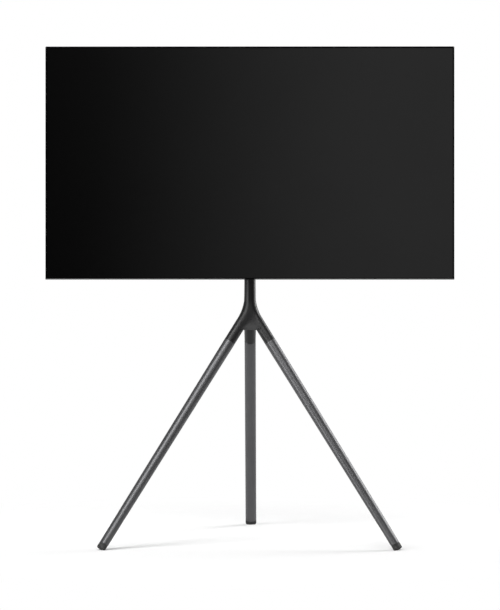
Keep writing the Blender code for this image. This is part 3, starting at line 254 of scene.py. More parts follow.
class Paint(Nodes):
    """A material in the making: a Principled shader and the nodes that feed it."""

    def __init__(self, name: str) -> None:
        """Starts a material of that name.

        Args:
            name: The material's name.
        """
        self.material = bpy.data.materials.new(name)
        self.material.use_nodes = True
        super().__init__(self.material.node_tree)
        self.shader = self.tree.nodes["Principled BSDF"]

    def where(self, stretch: Sequence[float] = (1, 1, 1)) -> Socket:
        """Object coordinates in metres, drawn out along an axis where stretch is above 1.

        Args:
            stretch: How far a pattern is drawn out along each axis.

        Returns:
            The coordinates.
        """
        source = self.node("ShaderNodeTexCoord").outputs["Object"]
        sockets = {"Vector": source, "Scale": tuple(1 / part for part in stretch)}
        return self.node("ShaderNodeMapping", sockets).outputs["Vector"]

    def along(self, axis: Axis) -> Value:
        """The Object coordinate along an axis, in metres."""
        source = self.node("ShaderNodeTexCoord").outputs["Object"]
        return self.value("ShaderNodeSeparateXYZ", axis.value, {"Vector": source})

    def near_floor(self, height: float) -> Value:
        """A value that falls from 1 on the floor to 0 at a height."""
        return 1 - self.rise(self.along(Axis.Z), 0.0, height)

    def noise(self, size: float, detail: float, stretch: Sequence[float] = (1, 1, 1)) -> Value:
        """Soft noise about 0.5.

        Args:
            size: Width of its largest spots, in metres.
            detail: How many finer layers it has.
            stretch: How far the spots are drawn out along each axis.

        Returns:
            The noise.
        """
        sockets = {"Vector": self.where(stretch), "Scale": 1 / size, "Detail": detail}
        return self.value("ShaderNodeTexNoise", 0, sockets)

    def cells(self, size: float, feature: str = "F1", out: str = "Distance") -> Value:
        """A cell pattern.

        Args:
            size: Width of a cell, in metres.
            feature: The Voronoi node's feature.
            out: The output that is read.

        Returns:
            That output.
        """
        sockets = {"Vector": self.where(), "Scale": 1 / size}
        return self.value("ShaderNodeTexVoronoi", out, sockets, feature=feature)

    def relief(self, height: Value, depth: float) -> None:
        """Gives the surface a bump.

        Args:
            height: The relief, from 0 to 1.
            depth: How deep it is, in metres.
        """
        made = self.node("ShaderNodeBump", {"Distance": depth, "Height": height})
        self.wear(Normal=made.outputs["Normal"])

    def wear(self, **sockets: object) -> None:
        """Sets or links the shader's own sockets; a name's spaces are written as underscores."""
        for name, value in sockets.items():
            self.feed(self.shader.inputs[name.replace("_", " ")], value)


class Shape:
    """A mesh in the making, shaped by bmesh operators."""

    def __init__(self) -> None:
        """Starts with nothing."""
        self.bm = bmesh.new()

    @classmethod
    def of_node(cls, name: str) -> "Shape":
        """A copy of a CAD node, with its triangles merged into whole flats.

        Args:
            name: The node.

        Returns:
            The copy.
        """
        shape = cls()
        shape.bm.from_mesh(frame["nodes"][name].data)
        bmesh.ops.remove_doubles(shape.bm, verts=shape.bm.verts[:], dist=MERGE)
        bmesh.ops.dissolve_limit(
            shape.bm, angle_limit=FLAT_ANGLE, verts=shape.bm.verts[:], edges=shape.bm.edges[:]
        )
        return shape

    def since(self, known: set[Vert]) -> list[Vert]:
        """The vertices that aren't among those known."""
        return [vert for vert in self.bm.verts if vert not in known]

    def turn(
        self, profile: Sequence[Point], place: Matrix, sides: int = FINE, hollow: bool = False
    ) -> "Shape":
        """Turns a profile round the Z axis of a place.

        Args:
            profile: Points as (radius, height), from one end to the other.
            place: Where the piece stands.
            sides: How many sides the turned piece has.
            hollow: True if the profile closes on itself, as a tube's wall does.

        Returns:
            This shape.
        """
        known = set(self.bm.verts)
        line = [self.bm.verts.new((radius, 0, height)) for radius, height in profile]
        pairs = list(zip(line, line[1:]))
        if hollow:
            pairs.append((line[-1], line[0]))
        edges = [self.bm.edges.new(pair) for pair in pairs]
        bmesh.ops.spin(
            self.bm, geom=line + edges, cent=(0, 0, 0), axis=UP, angle=math.tau,
            steps=sides, use_merge=True, use_duplicate=False,
        )
        bmesh.ops.remove_doubles(self.bm, verts=self.since(known), dist=MERGE)
        made = self.since(known)
        faces = {face for vert in made for face in vert.link_faces}
        bmesh.ops.recalc_face_normals(self.bm, faces=list(faces))
        bmesh.ops.transform(self.bm, matrix=place, verts=made)
        return self

    def block(self, place: Matrix, size: Sequence[float], width: float, segments: int = BROKEN) -> None:
        """Stands a block with rounded edges on a place.

        Args:
            place: Its origin is the middle of the block's foot.
            size: The block's size along the place's own axes.
            width: How far the rounding reaches on either side of an edge.
            segments: How many facets the rounding has.
        """
        middle = place @ Matrix.Translation((0, 0, size[2] / 2)) @ Matrix.Diagonal((*size, 1))
        made = set(bmesh.ops.create_cube(self.bm, size=1, matrix=middle)["verts"])
        self.bevel([edge for edge in self.bm.edges if made.issuperset(edge.verts)], width, segments)

    def repeat(self, moves: Iterable[Sequence[float]]) -> "Shape":
        """Repeats all that is here, once at each of some moves.

        Args:
            moves: How far each copy is moved.

        Returns:
            This shape.
        """
        first = self.bm.verts[:] + self.bm.edges[:] + self.bm.faces[:]
        for move in moves:
            made = bmesh.ops.duplicate(self.bm, geom=first)["geom"]
            copied = [item for item in made if isinstance(item, Vert)]
            bmesh.ops.translate(self.bm, vec=move, verts=copied)
        return self

    def sharp_edges(self, angle: float = SHARP_ANGLE) -> list[bmesh.types.BMEdge]:
        """The edges where two faces turn by more than an angle."""
        return [edge for edge in self.bm.edges if edge.is_manifold and edge.calc_face_angle(0) > angle]

    def bevel(self, edges: Iterable[bmesh.types.BMEdge], width: float, segments: int) -> "Shape":
        """Rounds some edges.

        Args:
            edges: The edges.
            width: How far the rounding reaches on either side.
            segments: How many facets it has.

        Returns:
            This shape.
        """
        bmesh.ops.bevel(
            self.bm, geom=list(edges), offset=width, segments=segments, profile=0.5,
            affect="EDGES", clamp_overlap=True, material=-1,
        )
        return self

    def soften(self, width: float, segments: int = BROKEN) -> "Shape":
        """Rounds every sharp edge."""
        return self.bevel(self.sharp_edges(), width, segments)

    def object(self, name: str) -> bpy.types.Object:
        """Turns the shape into an object at the origin, shaded flat up to its rounded edges.

        Args:
            name: The object's name.

        Returns:
            The object.
        """
        mesh = bpy.data.meshes.new(name)
        self.bm.to_mesh(mesh)
        self.bm.free()
        mesh.shade_smooth()
        mesh.set_sharp_from_angle(angle=SHARP_ANGLE)
        made = bpy.data.objects.new(name, mesh)
        bpy.context.scene.collection.objects.link(made)
        made.modifiers.new("flats", "WEIGHTED_NORMAL").keep_sharp = True
        return made


class Workshop:
    """Keeps the finishes, and turns shapes into pieces that ride on the frame's bodies."""

    def __init__(self, finishes: dict[Slot, "Finish"]) -> None:
        """Builds the material of each finish once."""
        self.finishes = finishes
        self.materials = {slot: finish.material(slot.value) for slot, finish in finishes.items()}

    def piece(
        self, name: str, shape: Shape, slot: Slot, body: Body, replaces: Sequence[str] = (),
        finish: Union["Finish", None] = None,
    ) -> bpy.types.Object:
        """Makes a piece of the object.

        Args:
            name: The piece's name.
            shape: Its finished shape.
            slot: The record's slot that it takes its finish from.
            body: The body that it moves with.
            replaces: The CAD nodes that it stands for.
            finish: A finish of its own, where it isn't the slot's.

        Returns:
            The piece.
        """
        made = shape.object(name)
        material = finish.material(name) if finish else self.materials[slot]
        made.data.materials.append(material)
        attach(made, body.value)
        if replaces:
            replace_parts(made, *replaces)
        LOG.info("%s: %d faces on %s", name, len(made.data.polygons), body.value)
        return made

    def dress(self, node: str, slot: Slot) -> None:
        """Gives a CAD node that stays in sight a finish.

        Args:
            node: The node.
            slot: The slot of its finish.
        """
        mesh = frame["nodes"][node].data
        mesh.materials.clear()
        mesh.materials.append(self.materials[slot])
        LOG.info("%s: dressed as %s", node, slot.value)


def rounded(corners: Sequence[Point], radius: float, steps: int) -> list[Point]:
    """Rounds the inner corners of a turned profile.

    Args:
        corners: The profile as (radius, height) points.
        radius: How far a rounding reaches along both of a corner's sides.
        steps: How many facets a rounding has.

    Returns:
        The profile with its inner points rounded.
    """
    points = [corners[0]]
    for before, corner, after in zip(corners, corners[1:], corners[2:]):
        middle = Vector(corner)
        start = middle + (Vector(before) - middle).normalized() * radius
        end = middle + (Vector(after) - middle).normalized() * radius
        for step in range(steps + 1):
            share = step / steps
            near = start.lerp(middle, share)
            far = middle.lerp(end, share)
            points.append(tuple(near.lerp(far, share)))
    points.append(corners[-1])
    return points


def shade(colour: Colour, share: float) -> Colour:
    """A colour made lighter or darker by a share."""
    return tuple(part * share for part in colour)


@dataclass(frozen=True)
class Finish:
    """What every finish has: a colour, a roughness and a metallic value."""

    colour: Colour
    roughness: float
    metallic: float = 0.0

    def material(self, name: str) -> bpy.types.Material:
        """Builds the finish.

        Args:
            name: The material's name.

        Returns:
            The material.
        """
        paint = Paint(name)
        paint.wear(Base_Color=self.colour, Roughness=self.roughness, Metallic=self.metallic)
        self.dress(paint)
        return paint.material

    def dress(self, paint: Paint) -> None:
        """Adds what varies over the surface; each finish has its own.

        Args:
            paint: The finish's material, with its plain values set.
        """
        raise NotImplementedError

    def toned(self, paint: Paint, share: Value, tones: Tones) -> Socket:
        """The colour in its darkest tone where share is 0, and in its lightest where it is 1."""
        dark, light = tones
        return paint.blend(share, shade(self.colour, dark), shade(self.colour, light))

    def uneven(self, *layers: tuple[Value, float]) -> Value:
        """The roughness with noises about 0.5 laid over it, each with how far it swings."""
        return sum(((noise - 0.5) * swing for noise, swing in layers), self.roughness)


@dataclass(frozen=True)
class CoatedMetal(Finish):
    """Paint or powder on metal: a rippled, grained skin with faint rubs and floor dust."""

    ripple: float = 0.0024
    ripple_depth: float = 0.00001
    ripple_grain: float = 0.3
    grain: float = 0.0006
    grain_share: float = 0.45
    mottle: float = 0.12
    mottle_span: Span = (0.36, 0.64)
    cloud: float = 0.07
    cloud_swing: float = 0.08
    rub_size: float = 0.016
    rub_length: float = 14.0
    rub_span: Span = (0.60, 0.72)
    rub_sheen: float = 0.05
    dust: Colour = (0.23, 0.22, 0.21)
    dust_height: float = 0.09
    dust_span: Span = (0.35, 0.62)
    dust_share: float = 0.10
    specular: float = 0.5

    def dress(self, paint: Paint) -> None:
        """Adds clouds, grain, rubs along the piece, dust near the floor and the skin's ripple.

        Args:
            paint: The finish's material, with its plain values set.
        """
        cloud = paint.noise(self.cloud, 4)
        grain = paint.noise(self.grain, 2)
        rubs = paint.rise(paint.noise(self.rub_size, 5, (1, 1, self.rub_length)), *self.rub_span)
        share = paint.rise(cloud.mixed(grain, self.grain_share), *self.mottle_span)
        coat = self.toned(paint, share, (1 - self.mottle, 1 + self.mottle))
        patches = paint.rise(cloud, *self.dust_span)
        dusty = paint.near_floor(self.dust_height) * patches * self.dust_share
        paint.wear(
            Base_Color=paint.blend(dusty, coat, self.dust),
            Roughness=self.uneven((cloud, self.cloud_swing)) + rubs * self.rub_sheen + dusty,
            Specular_IOR_Level=self.specular,
        )
        paint.relief(paint.noise(self.ripple, 1).mixed(grain, self.ripple_grain), self.ripple_depth)


@dataclass(frozen=True)
class Rubber(Finish):
    """Moulded rubber: bloom in clouds, a fine pebble, and scuffs where it meets the floor."""

    pebble: float = 0.0005
    pebble_depth: float = 0.00005
    bloom: Colour = (0.035, 0.034, 0.033)
    bloom_size: float = 0.008
    bloom_span: Span = (0.45, 0.75)
    bloom_swing: float = 0.3
    scuff: Colour = (0.09, 0.085, 0.08)
    scuff_height: float = 0.004
    scuff_span: Span = (0.42, 0.6)
    scuff_share: float = 0.7

    def dress(self, paint: Paint) -> None:
        """Adds bloom, scuffs and pebble.

        Args:
            paint: The finish's material, with its plain values set.
        """
        cloud = paint.noise(self.bloom_size, 4)
        bloomed = paint.blend(paint.rise(cloud, *self.bloom_span), self.colour, self.bloom)
        scrapes = paint.rise(paint.noise(self.bloom_size / 3, 3), *self.scuff_span)
        scuffed = paint.near_floor(self.scuff_height) * scrapes * self.scuff_share
        paint.wear(
            Base_Color=paint.blend(scuffed, bloomed, self.scuff),
            Roughness=self.uneven((cloud, self.bloom_swing)),
        )
        paint.relief(paint.cells(self.pebble), self.pebble_depth)


@dataclass(frozen=True)
class ScreenGlass(Finish):
    """The screen: an anti-glare film over a near-black panel, with a matt black margin round it."""

    low: Triple = (0, 0, 0)
    high: Triple = (0, 0, 0)
    margin: float = 0.0026
    margin_blur: float = 0.0004
    margin_colour: Colour = (0.0008, 0.0008, 0.0008)
    film_weight: float = 0.92
    film_roughness: float = 0.165
    film_index: float = 1.5
    film_grain: float = 0.00042
    film_depth: float = 0.000001
    smear_size: float = 0.22
    smear_swing: float = 0.12
    cell: float = 0.0007
    cell_tones: Tones = (0.85, 1.15)

    def dress(self, paint: Paint) -> None:
        """Adds the margin, faint smears in the film and the panel's fine cells.

        Args:
            paint: The finish's material, with its plain values set.
        """
        x = paint.along(Axis.X)
        z = paint.along(Axis.Z)
        sides = (x - self.low[0]).at_most(self.high[0] - x)
        ends = (z - self.low[2]).at_most(self.high[2] - z)
        inside = sides.at_most(ends)
        lit = paint.rise(inside, self.margin - self.margin_blur, self.margin + self.margin_blur)
        smear = (paint.noise(self.smear_size, 5) - 0.5) * self.smear_swing
        panel = self.toned(paint, paint.noise(self.cell, 0), self.cell_tones)
        paint.wear(
            Base_Color=paint.blend(lit, self.margin_colour, panel),
            Coat_Weight=lit * (self.film_weight + smear),
            Coat_Roughness=self.film_roughness,
            Coat_IOR=self.film_index,
            Specular_IOR_Level=0.0,
        )
        paint.relief(paint.noise(self.film_grain, 1), self.film_depth)


@dataclass(frozen=True)
class MouldedPlastic(Finish):
    """Moulded plastic: a spark-eroded grain and slow clouds of gloss."""

    grain: float = 0.0007
    grain_depth: float = 0.00005
    grain_swing: float = 0.08
    pit: float = 0.00119
    pit_share: float = 0.4
    cloud: float = 0.10
    cloud_swing: float = 0.16
    tones: Tones = (0.82, 1.18)
    tone_span: Span = (0.3, 0.7)

    def dress(self, paint: Paint) -> None:
        """Adds clouds of gloss and the grain.

        Args:
            paint: The finish's material, with its plain values set.
        """
        cloud = paint.noise(self.cloud, 5)
        grain = paint.noise(self.grain, 2).mixed(paint.cells(self.pit), self.pit_share)
        share = paint.rise(cloud.mixed(grain, 0.5), *self.tone_span)
        paint.wear(
            Base_Color=self.toned(paint, share, self.tones),
            Roughness=self.uneven((cloud, self.cloud_swing), (grain, self.grain_swing)),
        )
        paint.relief(grain, self.grain_depth)


@dataclass(frozen=True)
class BrushedMetal(Finish):
    """Plated, anodised or bare metal with brush lines along one axis and slow changes of tint."""

    line: float = 0.0005
    line_length: float = 60.0
    line_depth: float = 0.000012
    line_swing: float = 0.22
    line_share: float = 0.35
    line_tone: float = 0.6
    axis: Axis = Axis.X
    tint: Colour = WHITE
    tones: Tones = (0.85, 1.08)
    stain: float = 0.02
    stain_span: Span = (0.4, 0.65)
    stain_swing: float = 0.15
    specular: float = 0.5

    def along(self, axis: Axis) -> "BrushedMetal":
        """The same finish with its lines along another axis."""
        return replace(self, axis=axis)

    def dress(self, paint: Paint) -> None:
        """Adds brush lines, tints and stains.

        Args:
            paint: The finish's material, with its plain values set.
        """
        drawn = [self.line_length if axis == self.axis else 1.0 for axis in Axis]
        lines = paint.noise(self.line, 3, drawn)
        stains = paint.noise(self.stain, 4)
        tinted = tuple(part * tone for part, tone in zip(self.colour, self.tint))
        dark, light = self.tones
        share = paint.rise(stains, *self.stain_span)
        metal = paint.blend(share, shade(self.colour, light), shade(tinted, dark))
        paint.wear(
            Base_Color=paint.blend(lines * self.line_share, metal, shade(self.colour, self.line_tone)),
            Roughness=self.uneven((lines, self.line_swing), (stains, self.stain_swing)),
            Specular_IOR_Level=self.specular,
        )
        paint.relief(lines, self.line_depth)


@dataclass(frozen=True)
class SpangledSheet(Finish):
    """Zinc-coated sheet with its crystal spangle."""

    spangle: float = 0.014
    spangle_depth: float = 0.000006
    spangle_swing: float = 0.2
    seam_span: Span = (0.0, 0.06)
    feather_stretch: Triple = (3, 1, 1)
    feather_share: float = 0.3
    tones: Tones = (0.72, 1.15)

    def dress(self, paint: Paint) -> None:
        """Adds the spangle's cells, each of its own tone and gloss.

        Args:
            paint: The finish's material, with its plain values set.
        """
        cells = paint.cells(self.spangle, out="Color")
        seams = paint.rise(paint.cells(self.spangle, "DISTANCE_TO_EDGE"), *self.seam_span)
        feather = paint.noise(self.spangle / 6, 4, self.feather_stretch)
        paint.wear(
            Base_Color=self.toned(paint, cells.mixed(feather, self.feather_share), self.tones),
            Roughness=self.uneven((cells, self.spangle_swing)),
        )
        paint.relief(seams + feather * self.feather_share, self.spangle_depth)


@dataclass(frozen=True)
class PlainPlastic(Finish):
    """Nylon, diffuser sheet and lenses: a faint mottle, haze and a skin with slight waves."""

    mottle: float = 0.05
    mottle_span: Span = (0.35, 0.65)
    haze: float = 0.12
    cloud: float = 0.024
    fine: float = 0.0005
    fine_share: float = 0.4
    wave: float = 0.004
    wave_depth: float = 0.00002

    def dress(self, paint: Paint) -> None:
        """Adds mottle, haze and waves.

        Args:
            paint: The finish's material, with its plain values set.
        """
        cloud = paint.noise(self.cloud, 4)
        spots = cloud.mixed(paint.noise(self.fine, 2), self.fine_share)
        paint.wear(
            Base_Color=self.toned(paint, paint.rise(spots, *self.mottle_span), (1 - self.mottle, 1)),
            Roughness=self.uneven((cloud, self.haze)),
        )
        paint.relief(paint.noise(self.wave, 2), self.wave_depth)


@dataclass(frozen=True)
class CircuitBoard(Finish):
    """A circuit board: solder mask over copper tracks, with bare tinned pads."""

    patch: float = 0.03
    patch_span: Span = (0.47, 0.53)
    track: float = 0.0035
    track_span: Span = (0.34, 0.46)
    track_tones: Tones = (1, 1.8)
    track_relief: float = 0.7
    relief_depth: float = 0.00005
    pad: float = 0.009
    pad_span: Span = (0.16, 0.19)
    pad_metal: float = 0.9
    pad_gloss: float = 0.12
    tin: Colour = (0.62, 0.61, 0.58)
    cloud: float = 0.02
    cloud_swing: float = 0.1

    def dress(self, paint: Paint) -> None:
        """Adds pads, and tracks under the mask, level in some patches and plumb in others.

        Args:
            paint: The finish's material, with its plain values set.
        """
        patch = paint.rise(paint.noise(self.patch, 1), *self.patch_span)
        plumb = paint.along(Axis.X).folded(self.track)
        level = paint.along(Axis.Z).folded(self.track)
        copper = 1 - paint.rise(plumb.mixed(level, patch) / self.track, *self.track_span)
        pads = 1 - paint.rise(paint.cells(self.pad), *self.pad_span)
        mask = self.toned(paint, copper, self.track_tones)
        uneven = self.uneven((paint.noise(self.cloud, 3), self.cloud_swing))
        paint.wear(
            Base_Color=paint.blend(pads, mask, self.tin),
            Metallic=pads * self.pad_metal,
            Roughness=uneven - pads * self.pad_gloss,
        )
        paint.relief(copper * self.track_relief + pads, self.relief_depth)


@dataclass(frozen=True)
class Softbox:
    """A soft rectangular lamp that faces a point."""

    name: str
    place: Triple
    aim: Triple
    width: float
    height: float
    brightness: float

    def build(self) -> None:
        """Hangs the lamp."""
        lamp = bpy.data.lights.new(self.name, "AREA")
        lamp.shape = "RECTANGLE"
        lamp.size = self.width
        lamp.size_y = self.height
        lamp.energy = self.brightness * math.pi * self.width * self.height
        made = bpy.data.objects.new(self.name, lamp)
        made.location = self.place
        gaze = Vector(self.aim) - Vector(self.place)
        made.rotation_euler = gaze.to_track_quat("-Z", "Y").to_euler()
        bpy.context.scene.collection.objects.link(made)


@dataclass
class Studio:
    """The camera, the lamps, the pale room and the floor."""

    image_height: int = 610
    horizon_row: float = 249.6
    focal_pixels: float = 2726.0
    sensor: float = 36.0
    camera_height: float = 0.885
    camera_distance: float = 8.28
    camera_turn: float = math.radians(0.35)
    room: float = 0.30
    room_front: float = 0.01
    room_front_span: Span = (0.55, 0.95)
    room_back_span: Span = (0.8, 1.0)
    card_edges: tuple[float, ...] = (-0.84, -0.34, 0.16)
    card_end: float = 5.1
    card_depth: float = -8.6
    card_gap: float = 0.02
    card_middle: float = 1.6
    card_height: float = 6.0
    card_aim: Triple = (0, -0.2, 1.2)
    card_brightness: float = 0.20
    floor_size: float = 60.0
    floor_colour: Colour = (0.71, 0.71, 0.71)
    floor_rear: Colour = (0.90, 0.90, 0.90)
    floor_fade: Span = (-0.45, 0.50)
    floor_front: Colour = (0.02, 0.02, 0.02)
    floor_front_span: Span = (1.3, 2.5)
    floor_shadow: float = 0.98
    floor_shadow_span: Span = (0.55, 1.3)
    paper: float = 0.004
    paper_swing: float = 0.04

    def build(self, pole: Vector) -> None:
        """Sets up the studio round the pole's axis.

        Args:
            pole: A point on the pole's axis.
        """
        self.add_camera(pole)
        self.add_room()
        self.add_floor()
        for lamp in self.lamps():
            lamp.build()

    def lamps(self) -> tuple[Softbox, ...]:
        """The lamps: a high key, a low side light, a front, a rim, a top and cards by the camera.

        Returns:
            The lamps. The cards' edges lie in steps, so their reflection in the screen fades slowly.
        """
        cards = (
            Softbox(
                f"card_{row}",
                ((edge + self.card_end) / 2, self.card_depth - row * self.card_gap, self.card_middle),
                self.card_aim, self.card_end - edge, self.card_height, self.card_brightness,
            )
            for row, edge in enumerate(self.card_edges)
        )
        return (
            Softbox("key", (-1.9, -2.2, 3.6), (-0.2, -0.3, 0.3), 1.9, 1.9, 5.5),
            Softbox("side", (-2.9, -2.6, 1.5), (0, -0.2, 0.6), 1.7, 3.2, 5.8),
            Softbox("front", (-0.6, -2.8, 3.4), (0, -0.2, 0.7), 3.6, 1.6, 3.8),
            Softbox("rim", (3.1, 1.5, 1.8), (0.1, -0.2, 0.4), 1.6, 3.0, 8.5),
            Softbox("top", (0, -0.2, 4.4), (0, -0.2, 0), 4.0, 4.0, 0.7),
            *cards,
        )

    def add_camera(self, pole: Vector) -> None:
        """Stands the camera in front of the object, level, with the pole in the middle of the picture.

        Args:
            pole: A point on the pole's axis.
        """
        data = bpy.data.cameras.new("camera")
        data.sensor_width = self.sensor
        data.lens = self.focal_pixels * self.sensor / self.image_height
        data.shift_y = (self.horizon_row - self.image_height / 2) / self.image_height
        made = bpy.data.objects.new("camera", data)
        away = Matrix.Rotation(self.camera_turn, 3, "Z") @ Vector((0, -self.camera_distance, 0))
        made.location = (pole.x + away.x, pole.y + away.y, self.camera_height)
        made.rotation_euler = (math.pi / 2, 0, self.camera_turn)
        bpy.context.scene.collection.objects.link(made)
        bpy.context.scene.camera = made

    def add_room(self) -> None:
        """A pale room that is dim in front of the screen; the camera sees it as white."""
        world = bpy.data.worlds.new("room")
        world.use_nodes = True
        bpy.context.scene.world = world
        nodes = Nodes(world.node_tree)
        direction = nodes.node("ShaderNodeTexCoord").outputs["Generated"]
        depth = nodes.value("ShaderNodeSeparateXYZ", "Y", {"Vector": direction})
        seen = nodes.seen(nodes.rise(depth, *self.room_back_span))
        dim = nodes.rise(0 - depth, *self.room_front_span)
        level = self.room + (self.room_front - self.room) * dim
        back = world.node_tree.nodes["Background"]
        nodes.feed(back.inputs["Color"], WHITE)
        nodes.feed(back.inputs["Strength"], seen + (1 - seen) * level)

    def add_floor(self) -> None:
        """A white floor that keeps the object's shadow and runs out into the white room."""
        shape = Shape()
        bmesh.ops.create_grid(shape.bm, x_segments=1, y_segments=1, size=self.floor_size / 2)
        floor = shape.object("floor")
        paint = Paint("floor")
        distance = paint.value("ShaderNodeVectorMath", "Value", {0: paint.where()}, operation="LENGTH")
        away = paint.rise(distance, *self.floor_shadow_span)
        front = paint.rise(0 - paint.along(Axis.Y), *self.floor_front_span)
        paper = (paint.noise(self.paper, 2) - 0.5) * self.paper_swing
        rear = paint.rise(paint.along(Axis.Y), *self.floor_fade) + paper
        matt = paint.blend(rear, self.floor_colour, self.floor_rear)
        tone = paint.blend(front, matt, self.floor_front)
        paint.wear(Base_Color=tone, Roughness=1.0, Specular_IOR_Level=0.0)
        glow = paint.node("ShaderNodeEmission", {"Color": WHITE, "Strength": 1.0})
        share = paint.seen(1 - front) * (1 - self.floor_shadow * (1 - away))
        sockets = {0: share, 1: paint.shader.outputs["BSDF"], 2: glow.outputs["Emission"]}
        mixed = paint.node("ShaderNodeMixShader", sockets)
        paint.feed(paint.tree.nodes["Material Output"].inputs["Surface"], mixed.outputs["Shader"])
        floor.data.materials.append(paint.material)
        floor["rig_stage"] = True


class Detail:
    """A small form that is added to a shape; each kind is a frozen dataclass of its sizes."""

    def form(self, shape: Shape) -> None:
        """Adds the form to a shape at the origin; each kind has its own.

        Args:
            shape: The shape that gets it.
        """
        raise NotImplementedError

    def build(self, shape: Shape, place: Matrix) -> None:
        """Adds the form to a shape at a place.

        Args:
            shape: The shape that gets it.
            place: Where its origin lies, and how its axes run.
        """
        known = set(shape.bm.verts)
        self.form(shape)
        bmesh.ops.transform(shape.bm, matrix=place, verts=shape.since(known))

    def alone(self, *places: Matrix) -> Shape:
        """A new shape with nothing but this form, once at each place.

        Args:
            places: Where the form is built.

        Returns:
            The shape.
        """
        shape = Shape()
        for place in places:
            self.build(shape, place)
        return shape


class Drive(Enum):
    """The recess in a screw's head."""

    HEX = "hex"
    CROSS = "cross"

    def reach(self, angle: float, size: float) -> float:
        """How far the recess reaches from the screw's axis.

        Args:
            angle: Direction round the axis.
            size: Half the recess's width.

        Returns:
            The distance.
        """
        if self is Drive.HEX:
            return size / math.cos(math.remainder(angle, math.tau / 6))
        folded = abs(math.remainder(angle, math.tau / 4))
        arm = size / 3
        if math.tan(folded) < arm / size:
            return size / math.cos(folded)
        return arm / math.sin(folded)


@dataclass(frozen=True)
class Screw(Detail):
    """A screw with a head or, where the head's radius is the shank's, a grub screw."""

    radius: float
    length: float
    head_radius: float
    head_height: float
    drive: Drive
    drive_share: float = 0.5
    depth_share: float = 0.6
    edge: float = 0.0003

    def form(self, shape: Shape) -> None:
        """Adds the screw: its origin is under the head, and its shank runs along Z.

        Args:
            shape: The shape that gets it.
        """
        recess = self.head_radius * self.drive_share
        top = -self.head_height
        floor = top + self.head_height * self.depth_share
        edge = min(self.edge, self.head_height / 3)
        profile = [
            (0, floor), (recess, floor), (recess, top), (self.head_radius - edge, top),
            (self.head_radius, top + edge), (self.head_radius, 0), (self.radius, 0),
            (self.radius, self.length - self.radius / 2), (self.radius / 2, self.length),
            (0, self.length),
        ]
        known = set(shape.bm.verts)
        shape.turn(profile, ORIGIN, SMALL)
        for vert in shape.since(known):
            if abs(vert.co.xy.length - recess) < MERGE and vert.co.z < 0:
                angle = math.atan2(vert.co.y, vert.co.x)
                vert.co.xy *= self.drive.reach(angle, recess) / recess


GRUB = Screw(0.003, 0.0075, 0.003, 0.0025, Drive.HEX, 0.5, 0.9, 0.0002)


@dataclass(frozen=True)
class HexBolt(Detail):
    """A bolt with a six-sided head on a round washer face."""

    radius: float
    length: float
    head_radius: float
    head_height: float
    face_share: float = 0.2
    face_sunk: float = 1.5
    tip_share: float = 0.7
    edge: float = 0.0006

    def form(self, shape: Shape) -> None:
        """Adds the bolt: its origin is under the head, and its shank runs along Z.

        Args:
            shape: The shape that gets it.
        """
        face = self.head_height * self.face_share
        tall = self.head_height - face
        middle = -face - tall / 2
        flats = self.head_radius * math.cos(math.pi / 6)
        known = set(shape.bm.verts)
        bmesh.ops.create_cone(
            shape.bm, cap_ends=True, segments=6, radius1=self.head_radius, radius2=self.head_radius,
            depth=tall, matrix=Matrix.Translation((0, 0, middle)),
        )
        top = {vert for vert in shape.since(known) if vert.co.z < middle}
        shape.bevel([edge for edge in shape.bm.edges if top.issuperset(edge.verts)], self.edge, ROUND)
        sunk = -face * self.face_sunk
        profile = [
            (0, sunk), (flats, sunk), (flats, 0), (self.radius, 0),
            (self.radius, self.length - self.radius / 3), (self.radius * self.tip_share, self.length),
            (0, self.length),
        ]
        shape.turn(profile, ORIGIN, SMALL)


@dataclass(frozen=True)
class Weld(Detail):
    """A rippled weld bead along a straight line."""

    length: float
    radius: float = 0.0022
    pitch: float = 0.0022
    ripple: float = 0.14
    steps: int = 4
    sides: int = 16

    def form(self, shape: Shape) -> None:
        """Adds the bead, which runs along Z from the origin.

        Args:
            shape: The shape that gets it.
        """
        count = round(self.length / self.pitch) * self.steps
        profile = [(0, 0)]
        for index in range(1, count):
            crest = abs(math.sin(math.pi * index / self.steps))
            end = min(index, count - index) / self.steps
            radius = self.radius * (1 - self.ripple * (1 - crest)) * min(1, 0.5 + end / 2)
            profile.append((radius, self.length * index / count))
        profile.append((0, self.length))
        shape.turn(profile, ORIGIN, self.sides)


@dataclass(frozen=True)
class HeatSink(Detail):
    """A finned block that stands on a board."""

    width: float
    height: float
    base: float = 0.0025
    fin_height: float = 0.0095
    fin: float = 0.0012
    fins: int = 9
    edge: float = 0.0002

    def form(self, shape: Shape) -> None:
        """Adds the block: its origin is the middle of its foot, and its fins rise along Z.

        Args:
            shape: The shape that gets it.
        """
        shape.block(ORIGIN, (self.width, self.height, self.base), self.edge, CHAMFER)
        sunk = self.base / 2
        size = (self.fin, self.height, sunk + self.fin_height)
        half = (self.width - self.fin) / 2
        for index in range(self.fins):
            x = half * (2 * index / (self.fins - 1) - 1)
            shape.block(Matrix.Translation((x, 0, sunk)), size, self.edge, CHAMFER)


@dataclass(frozen=True)
class Can(Detail):
    """A capacitor's can: a rolled groove near its foot and a scored, sunken top."""

    radius: float
    height: float
    edge: float = 0.0006
    groove_up: float = 0.2
    groove_spread: float = 1.6
    rim: float = 2.0
    score: float = 2.6
    sink: float = 0.0004

    def form(self, shape: Shape) -> None:
        """Adds the can, which rises along Z from the middle of its foot.

        Args:
            shape: The shape that gets it.
        """
        radius, height, edge = self.radius, self.height, self.edge
        groove = height * self.groove_up
        spread = edge * self.groove_spread
        floor = height - self.sink
        profile = [
            (0, 0), (radius, 0), (radius, groove - spread), (radius - edge, groove),
            (radius, groove + spread), (radius, height), (radius - edge * self.rim, height),
            (radius - edge * self.score, floor), (0, floor),
        ]
        shape.turn(rounded(profile, edge / 2, ROUND), ORIGIN, SMALL)


